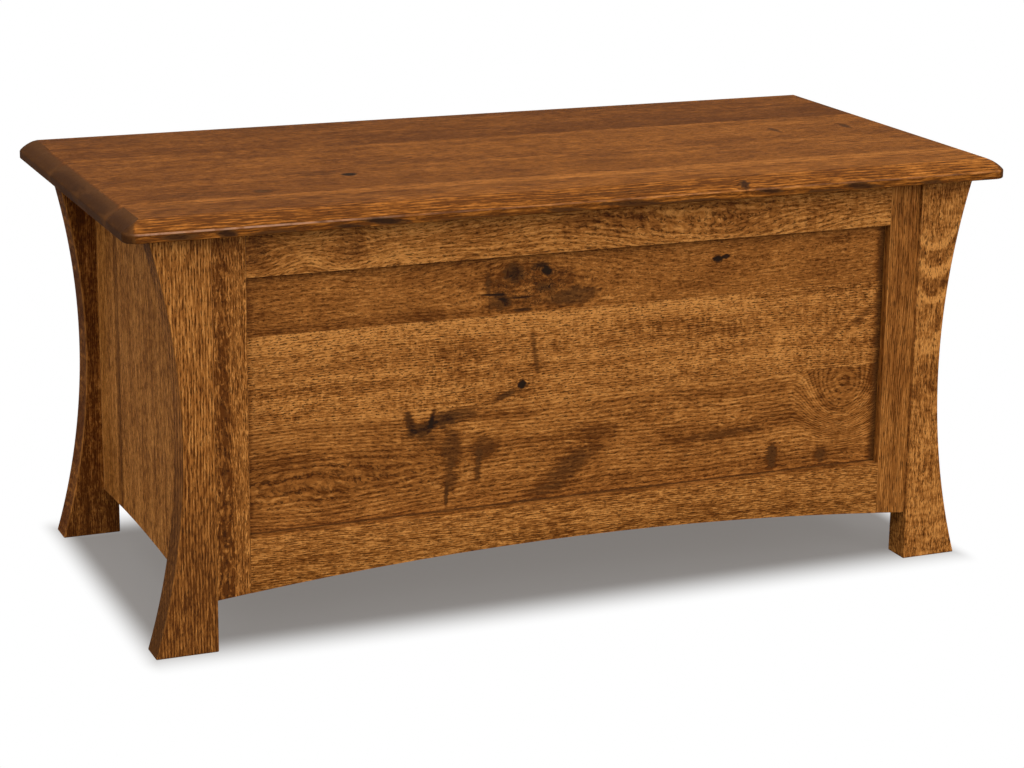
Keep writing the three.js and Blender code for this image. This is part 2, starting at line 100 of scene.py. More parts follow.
# Screws: where they are in what they hold, how thick that is, and how their heads are made
SCREW_INSET = 0.008
HINGE_SCREWS = 3
LEAF = 0.002
LEAF_SPACE = 0.0006
STAY_PLATE = 0.0025
BRACKET_SCREW = 0.00975
BATTEN_SCREWS = (0.08, 0.36, 0.64, 0.92)
SUNK = 0.0001
HEAD_RADIUS = 0.00365
HEAD_DEPTH = 0.0018
HEAD_SIDES = 20
HEAD_TAPER = 0.55
RECESS = 0.0042
RECESS_WIDTH = 0.26
RECESS_DEPTH = 1.2
TURN_SEED = 7

# Oak. A face counts as end or edge grain from the first slope on, and wholly from the second.
END_FROM = (0.12, 0.6)
EDGE_FROM = (0.72, 0.95)
# How much darker end grain is, what share of its lines, rings and pores it loses, and what share
# of their stain arrises lose, partly as wear and partly as a painted highlight
END_GRAIN_STAIN = 0.6
END_GRAIN_LOSS = 0.6
WEAR_AND_HIGHLIGHT = 0.3
# How far the grain parts for each millimetre off a knot's middle, and how far an outline strays
PARTING = 0.6
STRAYING = 4.0
STAIN_HUE = (0.080, 0.035, 0.010)
KNOT_HEART = (0.012, 0.0075, 0.0045)
ROUGHNESS = (0.40, 0.50)
PORE_ROUGHNESS = 0.18
PORE_DEPTH = 0.0004
OAK_SPECULAR = 0.04
METAL_GRAIN_DEPTH = 0.0002
SPOTS_PER_PATCH = 6

# Noise patterns: how far apart their features lie along a board, across it and through it, in
# millimetres, then detail, roughness and distortion. For cracks it is in half sizes of their knot,
# and for flames in the measures below.
PATTERNS = {
    "wander": ((330.0, 110.0, 110.0), 2.0, 0.5, 0.0),
    "ripple": ((34.0, 13.0, 13.0), 3.0, 0.6, 0.0),
    "fibre": ((28.0, 1.8, 1.8), 3.0, 0.6, 0.0),
    "pores": ((10.0, 1.35, 1.35), 2.0, 0.6, 0.0),
    "flakes": ((11.0, 3.0, 8.0), 2.0, 0.5, 1.2),
    "curl": ((5.5, 24.0, 24.0), 3.0, 0.62, 0.5),
    "curled": ((120.0, 60.0, 60.0), 1.0, 0.5, 0.0),
    "flame": (None, 3.0, 0.58, 1.5),
    "clouds": ((95.0, 38.0, 38.0), 4.0, 0.6, 0.0),
    "ragged": ((17.0, 5.0, 40.0), 4.0, 0.65, 0.0),
    "cracks": ((0.32, 0.5, 1.0), 3.0, 0.6, 1.2),
    "end patches": ((60.0, 80.0, 14.0), 4.0, 0.6, 0.0),
    "wear_and_highlight_patches": ((22.0, 22.0, 22.0), 3.0, 0.6, 0.0),
    "sheen": ((60.0, 30.0, 30.0), 2.0, 0.5, 0.0),
    "floor": ((40.0, 40.0, 40.0), 2.0, 0.5, 0.0),
}
METAL_PATCHES = (3.0, 0.6, 0.0)
METAL_GRAIN = (2.0, 0.5, 0.0)
# From which value to which something goes from 0 to 1, or from the third number to the fourth
SPANS = {
    "near a mark": (0.2, 3.0, 1.0, 0.0),
    "crack": (0.0, 0.028, 1.0, 0.0),
    "broken": (0.62, 0.68),
    "early wood begins": (0.0, 0.18),
    "early wood ends": (0.3, 0.8, 1.0, 0.0),
    "pores": (0.51, 0.59),
    "flakes": (0.54, 0.64),
    "curled": (0.4, 0.62),
    "hue of stains": (0.15, 0.6, 0.0, 0.6),
    "dark of knots": (0.55, 1.15, 0.0, 0.75),
    "heart of knots": (0.8, 1.35, 0.0, 0.85),
    "end patches": (0.4, 0.6, 0.7, 1.0),
    "wear_and_highlight_patches": (0.38, 0.56, 0.35, 1.1),
    "sheen": (0.25, 0.75),
    "metal patches": (0.35, 0.68),
    "metal grain": (0.3, 0.7),
    "floor": (0.3, 0.7),
    "sky": (0.1, 0.9),
}
# Bands and flames follow the rings: how many of their features there are for each ring
BANDS_PER_RING = 0.21
BANDS_DETAIL = 3.0
FLAMES_PER_RING = 0.22
FLAMES_PER_MILLIMETRE = 0.075
# How much a setting of 1 changes the tone. Curl adds the first number where the wood is curled,
# and the second all over.
GAIN = {"Bands": 1.6, "Lines": 2.2, "Flame": 3.0, "Clouds": 2.0}
CURL_GAIN = (2.2, 0.15)
RING_GAIN = -0.5
# The share of pores that only early wood has, and the share that all wood has
PORES = (0.5, 0.5)
# How far boards without a figure of their own vary, and how far every board is shifted and tilted
PITH_VARIES = (0.7, 1.3)
TONE_VARIES = 0.06
SHIFT = 9000.0
TILT = 0.02

# Stage. The floor carries a painted shadow round the feet. Its fading is squeezed across the front,
# so that it ends closer beside the chest.
FLOOR_REACH = 30.0
PAINTED_SHADOW_SQUEEZE = 2.1
PAINTED_SHADOW_TINT = (1.0, 0.92, 0.86)
SPECK = 0.985
SENSOR_WIDTH = 36.0
SEEN_TO = 100.0
WHITE = (1.0, 1.0, 1.0)
# Each sun's name, setting, breadth, azimuth, elevation, and whether reflections show it. Angles are
# in degrees, and azimuth is 0 in front of the chest and 90 on its right.
SUNS = (
    ("Overhead Light", "overhead", 70, 10, 80, True),
    ("Front Light", "front", 50, 10, 20, True),
    ("Left Light", "left", 60, -75, 25, True),
    ("Back Light", "back", 60, 180, 10, False),
    ("Right Light", "right", 60, 95, 10, False),
)


# Settings that a user would change

def length(name, description, default, high=2.0):
    return bpy.props.FloatProperty(
        name=name, description=description, default=default, min=0.0, max=high,
        unit="LENGTH", subtype="DISTANCE", precision=4)


def share(name, description, default):
    return bpy.props.FloatProperty(
        name=name, description=description, default=default, min=0.0, max=1.0, subtype="FACTOR")


def colour(name, description, default):
    return bpy.props.FloatVectorProperty(
        name=name, description=description, default=default, size=3, min=0.0, max=1.0,
        subtype="COLOR")


def strength(name, description, default):
    return bpy.props.FloatProperty(name=name, description=description, default=default, min=0.0)


def angle(name, description, degrees):
    return bpy.props.FloatProperty(
        name=name, description=description, default=math.radians(degrees), subtype="ANGLE")


def settings(kind, name, description):
    return bpy.props.PointerProperty(type=kind, name=name, description=description)


class BlanketChestLegSettings(bpy.types.PropertyGroup):
    height: length("Height", "From the floor to the lid's seat", LEG_HIGH.z)
    foot_width: length("Foot Width", "Width of the leg at the floor", LEG_HIGH.x - LEG_LOW.x)
    waist_width: length("Waist Width", "Width at the narrowest place", LEG_WAIST)
    waist_height: length("Waist Height", "Height of the narrowest place", LEG_WAIST_HEIGHT)
    thickness: length("Thickness", "From front to back", LEG_HIGH.y - LEG_LOW.y)
    easing: length("Easing", "Width that the sanded arrises lose", 0.0016, high=0.01)
    steps: bpy.props.IntProperty(
        name="Steps", description="Straight steps along the hollow edge", default=LEG_STEPS,
        min=4, max=200)


class BlanketChestOakSettings(bpy.types.PropertyGroup):
    light: colour("Light", "Stained oak where the grain is palest", (0.54, 0.225, 0.052))
    middle: colour("Middle", "Stained oak over most of the board", (0.285, 0.100, 0.0180))
    dark: colour("Dark", "Stained oak in its darkest bands", (0.094, 0.026, 0.0038))
    pore: colour("Pores", "Stain gathered in pores and knots", (0.034, 0.010, 0.0024))
    # The lid's colours are a darker copy of the oak's: painted shade against the stronger light on
    # its top
    lid_light: colour("Lid Light", "The lid where its grain is palest", (0.42, 0.150, 0.026))
    lid_middle: colour("Lid Middle", "The lid over most of its boards", (0.255, 0.082, 0.0105))
    lid_dark: colour("Lid Dark", "The lid in its darkest bands", (0.100, 0.029, 0.004))
    bare_light: colour("Bare Light", "Clear-finished inner wood, pale", (0.62, 0.42, 0.24))
    bare_middle: colour("Bare Middle", "Clear-finished inner wood, middle", (0.47, 0.29, 0.15))
    bare_dark: colour("Bare Dark", "Clear-finished inner wood, dark", (0.28, 0.16, 0.08))
    easing: length("Easing", "Width that the boards' arrises lose", 0.0005, high=0.01)
    lid_easing: length("Lid Easing", "Width that the lid's arris loses", 0.0012, high=0.01)
    relief: share("Relief", "Depth of the open pores in the finish", 0.25)


class BlanketChestHardwareSettings(bpy.types.PropertyGroup):
    head_radius: length(
        "Screw Head Radius", "Radius of the countersunk heads", HEAD_RADIUS, high=0.02)
    head_depth: length(
        "Screw Head Depth", "Depth of the countersunk heads", HEAD_DEPTH, high=0.02)
    recess: length("Recess", "Length of the cross in each head", RECESS, high=0.02)
    edge: length("Edge", "Width that the metal's arrises lose", 0.00025, high=0.01)
    turn_seed: bpy.props.IntProperty(
        name="Turn Seed", description="Picks how far each screw is turned", default=TURN_SEED,
        min=0)


class BlanketChestStageSettings(bpy.types.PropertyGroup):
    focal_length: bpy.props.FloatProperty(
        name="Focal Length", description="Lens of the camera, on a 36 mm sensor", default=91.99,
        min=10.0, max=300.0, subtype="DISTANCE_CAMERA")
    yaw: angle("Yaw", "How far the view turns to the right of the chest's depth", 22.75)
    pitch: angle("Pitch", "How far the view looks down", 15.76)
    roll: angle("Roll", "How far the camera leans", 0.69)
    camera_place: bpy.props.FloatVectorProperty(
        name="Camera Place", description="Where the camera stands",
        default=(-1.2389, -2.9758, 1.1232), size=3, subtype="TRANSLATION", unit="LENGTH")
    zenith: strength("Light Above", "Strength of the even light from overhead", 0.8)
    horizon: strength("Light Around", "Strength of the even light from the walls", 0.1)
    overhead: strength("Overhead Light", "Strength of the broad light from above", 1.0)
    front: strength("Front Light", "Strength of the broad light from the front", 2.25)
    left: strength("Left Light", "Strength of the broad light from the left", 1.6)
    back: strength("Back Light", "Strength of the broad light from behind", 1.4)
    right: strength("Right Light", "Strength of the broad light from the right", 1.0)
    # Near the feet the floor is a painted shadow: this dark floor under a grey glow that the camera
    # sees
    floor_grey: share("Floor", "Paleness of the floor", 0.1)
    painted_shadow_grey: share("Painted Shadow Lift", "Paleness that the camera still sees in shadow", 0.2)
    painted_shadow_reach: length("Painted Shadow Reach", "How far the shadow fades in and out of the feet", 0.052)


class BlanketChestSettings(bpy.types.PropertyGroup):
    legs: settings(BlanketChestLegSettings, "Legs", "The hollowed legs")
    oak: settings(BlanketChestOakSettings, "Oak", "Colours of the oak")
    hardware: settings(BlanketChestHardwareSettings, "Hardware", "Hinges, stays and screws")
    stage: settings(BlanketChestStageSettings, "Stage", "Floor, lights and camera")


# Wiring of node trees

FLOAT, INTEGER, VECTOR = "NodeSocketFloat", "NodeSocketInt", "NodeSocketVector"
COLOUR, MATERIAL, GEOMETRY = "NodeSocketColor", "NodeSocketMaterial", "NodeSocketGeometry"


class Wiring:
    """Adds nodes to one tree. A value that is a socket is linked, and any other is set."""

    def __init__(self, tree):
        self.tree = tree

    def add(self, kind, inputs=None, **options):
        node = self.tree.nodes.new(kind)
        node.location = (NODE_SPACING * len(self.tree.nodes), 0)
        for name, value in options.items():
            setattr(node, name, value)
        for key, value in (inputs or {}).items():
            self.put(node.inputs[key], value)
        return node

    def made(self, kind, inputs=None, **options):
        """The first output of a new node."""
        return self.add(kind, inputs, **options).outputs[0]

    def put(self, socket, value):
        if isinstance(value, bpy.types.NodeSocket):
            self.tree.links.new(value, socket)
        else:
            socket.default_value = value

    def math(self, operation, *values):
        return self.made("ShaderNodeMath", dict(enumerate(values)), operation=operation)

    def sum(self, first, *others):
        for other in others:
            first = self.math("ADD", first, other)
        return first

    def minus(self, first, second):
        return self.math("SUBTRACT", first, second)

    def times(self, first, second):
        return self.math("MULTIPLY", first, second)

    def times_plus(self, first, second, third):
        return self.math("MULTIPLY_ADD", first, second, third)

    def over(self, first, second):
        return self.math("DIVIDE", first, second)

    def absolute(self, value):
        return self.math("ABSOLUTE", value)

    def vector(self, operation, *values):
        return self.made("ShaderNodeVectorMath", dict(enumerate(values)), operation=operation)

    def magnitude(self, value):
        return self.add("ShaderNodeVectorMath", {0: value}, operation="LENGTH").outputs[1]

    def scaled(self, value, factor):
        return self.made("ShaderNodeVectorMath", {0: value, 3: factor}, operation="SCALE")

    def apart(self, value):
        return self.add("ShaderNodeSeparateXYZ", {0: value}).outputs

    def together(self, x=0.0, y=0.0, z=0.0):
        return self.made("ShaderNodeCombineXYZ", {0: x, 1: y, 2: z})

    def span(self, value, low, high, start=0.0, end=1.0, curve="SMOOTHSTEP"):
        """Goes from start to end, smoothly, while the value goes from low to high."""
        return self.made(
            "ShaderNodeMapRange", {0: value, 1: low, 2: high, 3: start, 4: end},
            interpolation_type=curve)

    def straight_span(self, *values):
        return self.span(*values, curve="LINEAR")

    def blend_number(self, factor, first, second):
        return self.made(
            "ShaderNodeMix", {0: factor, 2: first, 3: second}, data_type="FLOAT")

    def blend(self, factor, first, second):
        return self.add(
            "ShaderNodeMix", {0: factor, 6: first, 7: second}, data_type="RGBA").outputs[2]

    def noise(self, place, pattern, output=0):
        """Noise over a place in millimetres, from a row of the patterns."""
        pitch, detail, roughness, distortion = pattern
        if pitch:
            place = self.vector("DIVIDE", place, pitch)
        return self.add("ShaderNodeTexNoise", {
            "Vector": place, "Scale": 1.0, "Detail": detail, "Roughness": roughness,
            "Distortion": distortion}).outputs[output]

    def drift(self, place, pattern):
        """Noise in three directions, about zero."""
        return self.vector("SUBTRACT", self.noise(place, pattern, output=1), (0.5, 0.5, 0.5))

    def noise_along(self, place, detail):
        """Noise along one number."""
        return self.made(
            "ShaderNodeTexNoise", {"W": place, "Scale": 1.0, "Detail": detail},
            noise_dimensions="1D")


def new_group(name, kind, inputs, outputs):
    """A node group whose inputs and outputs are (name, socket type, default) rows."""
    tree = bpy.data.node_groups.new(name, kind)
    for direction, rows in (("INPUT", inputs), ("OUTPUT", outputs)):
        for label, socket_type, default in rows:
            socket = tree.interface.new_socket(
                label, in_out=direction, socket_type=socket_type)
            if default is not None:
                socket.default_value = default
    return tree


def shared_group(name, build):
    return bpy.data.node_groups.get(name) or build()


def blank_material(name):
    material = bpy.data.materials.new(name)
    material.use_nodes = True
    material.node_tree.nodes.clear()
    return material, Wiring(material.node_tree)


def rgba(value):
    return (*value, 1.0)


# Oak

MARK_INPUTS = (
    ("Board", VECTOR, None),
    ("Centre", VECTOR, (0.0, 0.0, 0.0)),
    ("Turn", FLOAT, 0.0),
    ("Half Length", FLOAT, 20.0),
    ("Half Width", FLOAT, 8.0),
    ("Ragged", FLOAT, 0.3),
    ("Softness", FLOAT, 0.4),
    ("Broken", FLOAT, 0.0),
)


def mark_group():
    """A knot, a stain or painted shade: how far the grain swings and parts round it, and how dark
    it is.
    """
    tree = new_group("Oak Mark", "ShaderNodeTree", MARK_INPUTS, (
        ("Swing", FLOAT, None), ("Parting", FLOAT, None), ("Stain", FLOAT, None)))
    net = Wiring(tree)
    given = net.add("NodeGroupInput").outputs
    offset = net.vector("SUBTRACT", given["Board"], given["Centre"])
    ragged = net.scaled(net.drift(offset, PATTERNS["ragged"]), given["Ragged"])
    turned = net.made(
        "ShaderNodeVectorRotate", {"Vector": offset, "Angle": given["Turn"]},
        rotation_type="Z_AXIS")
    x, y, _ = net.apart(turned)
    flat = net.together(net.over(x, given["Half Length"]), net.over(y, given["Half Width"]))
    away = net.magnitude(net.vector("ADD", flat, net.scaled(ragged, STRAYING)))
    nearness = net.span(net.magnitude(flat), *SPANS["near a mark"])
    _, off_centre, _ = net.apart(offset)
    inside = net.span(
        away, net.minus(1.0, given["Softness"]), net.sum(1.0, given["Softness"]), 1.0, 0.0)
    cracks = net.noise(flat, PATTERNS["cracks"])
    from_crack = net.absolute(net.minus(cracks, 0.5))
    broken = net.math(
        "MAXIMUM", net.span(cracks, *SPANS["broken"]), net.span(from_crack, *SPANS["crack"]))
    result = net.add("NodeGroupOutput").inputs
    net.put(result["Swing"], nearness)
    net.put(result["Parting"], net.times(net.times(nearness, off_centre), -PARTING))
    net.put(result["Stain"], net.times(inside, net.blend_number(given["Broken"], 1.0, broken)))
    return tree


# The settings of a figure. The pith's place is in millimetres, across and behind the middle of
# the board.
PLAIN = {
    "Pith Across": 110.0, "Pith Depth": 90.0, "Ring Width": 2.6, "Wander": 18.0, "Ripple": 1.8,
    "Tone": 0.55, "Bands": 0.3, "Lines": 0.85, "Rings": 0.35, "Pores": 0.8, "Flakes": 0.0,
    "Curl": 0.25, "Flame": 0.0, "Clouds": 0.3, "Streak": 0.5,
}
FIGURE_INPUTS = (
    ("Board", VECTOR, None), ("Swing", FLOAT, 0.0), ("Parting", FLOAT, 0.0), ("Stain", FLOAT, 0.0),
    *((label, FLOAT, default) for label, default in PLAIN.items()),
    *((label, COLOUR, None) for label in ("Light", "Middle", "Dark", "Pore")),
)


def figure_group():
    """The figure of a board, cut from a trunk whose rings turn about a wandering pith."""
    tree = new_group("Oak Figure", "ShaderNodeTree", FIGURE_INPUTS, (
        ("Colour", COLOUR, None), ("Open Pores", FLOAT, None)))
    net = Wiring(tree)
    given = net.add("NodeGroupInput").outputs
    board = given["Board"]

    def shown(value, amount):
        return net.times(net.minus(value, 0.5), amount)

    def gain(label):
        return net.times(given[label], GAIN[label])

    slow = net.drift(board, PATTERNS["wander"])
    quick = net.drift(board, PATTERNS["ripple"])
    bent = net.vector("ADD", board, net.vector(
        "ADD", net.scaled(slow, given["Wander"]), net.scaled(quick, given["Ripple"])))
    bent = net.vector("ADD", bent, net.together(0.0, given["Parting"], 0.0))
    _, across, depth = net.apart(bent)
    reach = net.magnitude(net.together(
        0.0, net.minus(across, given["Pith Across"]), net.minus(depth, given["Pith Depth"])))
    turn = net.over(net.sum(reach, given["Swing"]), given["Ring Width"])
    ring = net.math("FRACT", turn)
    early = net.times(
        net.span(ring, *SPANS["early wood begins"]), net.span(ring, *SPANS["early wood ends"]))

    bands = net.noise_along(net.times(turn, BANDS_PER_RING), BANDS_DETAIL)
    drawn = net.vector("DIVIDE", bent, net.together(given["Streak"], 1.0, 1.0))
    fibre = net.noise(drawn, PATTERNS["fibre"])
    pore_noise = net.noise(drawn, PATTERNS["pores"])
    pores = net.times(net.span(pore_noise, *SPANS["pores"]), net.times_plus(early, *PORES))
    flakes = net.span(net.noise(bent, PATTERNS["flakes"]), *SPANS["flakes"])
    curl = net.noise(bent, PATTERNS["curl"])
    curled = net.span(net.noise(board, PATTERNS["curled"]), *SPANS["curled"])
    along, _, _ = net.apart(bent)
    flame = net.noise(net.together(
        net.times(along, FLAMES_PER_MILLIMETRE), net.times(turn, FLAMES_PER_RING)),
        PATTERNS["flame"])
    clouds = net.noise(board, PATTERNS["clouds"])

    tone = net.sum(
        given["Tone"],
        shown(bands, gain("Bands")),
        shown(fibre, gain("Lines")),
        shown(curl, net.times(given["Curl"], net.times_plus(curled, *CURL_GAIN))),
        shown(flame, gain("Flame")),
        shown(clouds, gain("Clouds")),
        net.times(net.times(early, given["Rings"]), RING_GAIN),
        net.times(flakes, given["Flakes"]),
        net.times(given["Stain"], -1.0))
    mixed = net.blend(net.straight_span(tone, 0.0, 0.5), given["Dark"], given["Middle"])
    mixed = net.blend(net.straight_span(tone, 0.5, 1.0), mixed, given["Light"])
    hue = net.span(given["Stain"], *SPANS["hue of stains"])
    mixed = net.blend(hue, mixed, rgba(STAIN_HUE))
    open_pores = net.times(pores, given["Pores"])
    deep = net.sum(open_pores, net.span(given["Stain"], *SPANS["dark of knots"]))
    heart = net.span(given["Stain"], *SPANS["heart of knots"])
    mixed = net.blend(net.straight_span(deep, 0.0, 1.0), mixed, given["Pore"])
    mixed = net.blend(heart, mixed, rgba(KNOT_HEART))

    result = net.add("NodeGroupOutput").inputs
    net.put(result["Colour"], mixed)
    net.put(result["Open Pores"], open_pores)
    return tree


# Standard figures. Beside those settings a figure may say
# - "end" and "edge": how much darker its ends and edges are, and "edge from": at which slope; the
#   darker edges are partly edge grain and partly painted shade
# - "wear and highlight": what share of its stain its arrises have lost, partly as wear and partly
#   as a painted highlight, "wear and highlight colour": the colour that shows there, and
#   "wear and highlight until": how that share falls along the board
# - "sag": where across the board its marks reach least far along it, and how they bend from there
# - "roughness": its least and most
# - "marks" and "edge marks": knots, stains and painted shade in the whole board, and those only
#   on its edges
RIFT = {
    **PLAIN, "Pith Across": 260.0, "Wander": 8.0, "Ripple": 1.6, "Rings": 0.6, "Lines": 1.1,
    "Curl": 0.1, "edge": 0.08,
}
QUARTERED = {
    **PLAIN, "Pith Across": 320.0, "Pith Depth": 0.0, "Wander": 12.0, "Flakes": 0.25,
    "edge": 0.08,
}
SIDE = {
    **RIFT, "Tone": 0.62, "Rings": 0.3, "Bands": 0.6, "Lines": 1.5, "Clouds": 0.45, "edge": 0.0,
}
LID = {
    **PLAIN, "Pith Across": 160.0, "Pith Depth": 150.0, "Bands": 0.22, "Lines": 1.1,
    "Rings": 0.3, "Pores": 0.6, "Curl": 0.12, "Clouds": 0.4, "Streak": 0.6, "end": 0.85,
    # The lid's front bevel and rim are darkened by painted shade, and the rim's arris carries a
    # painted highlight in pale pink
    "edge": 0.13, "edge from": (0.25, 0.6), "wear_and_highlight": 0.4, "wear and highlight colour": (0.55, 0.30, 0.18),
    "roughness": (0.34, 0.44),
}
LINING = {**PLAIN, "Bands": 0.3, "Lines": 0.3, "Pores": 0.25, "Rings": 0.2, "Curl": 0.05}

# Knots, stains and painted shade. Each row: along, across, half length, half width, stain, ragged,
# softness, and where they aren't zero turn, swing and broken. Lengths are in millimetres, along
# from the chest's middle and across from the board's. A negative stain is paler than the board.

# The lid is a little darker at its left end than at its right
LID_ENDS = (
    (-500, 0, 300, 300, 0.09, 0.2, 0.9),
    (470, 0, 300, 300, -0.09, 0.2, 0.9))

# Painted shade where the panel goes into the stiles, wider and darker at the right
PANEL_END_SHADE = (
    (-414, 0, 6, 400, 0.35, 0.1, 0.8),
    (414, 0, 9, 400, 0.5, 0.1, 0.8))

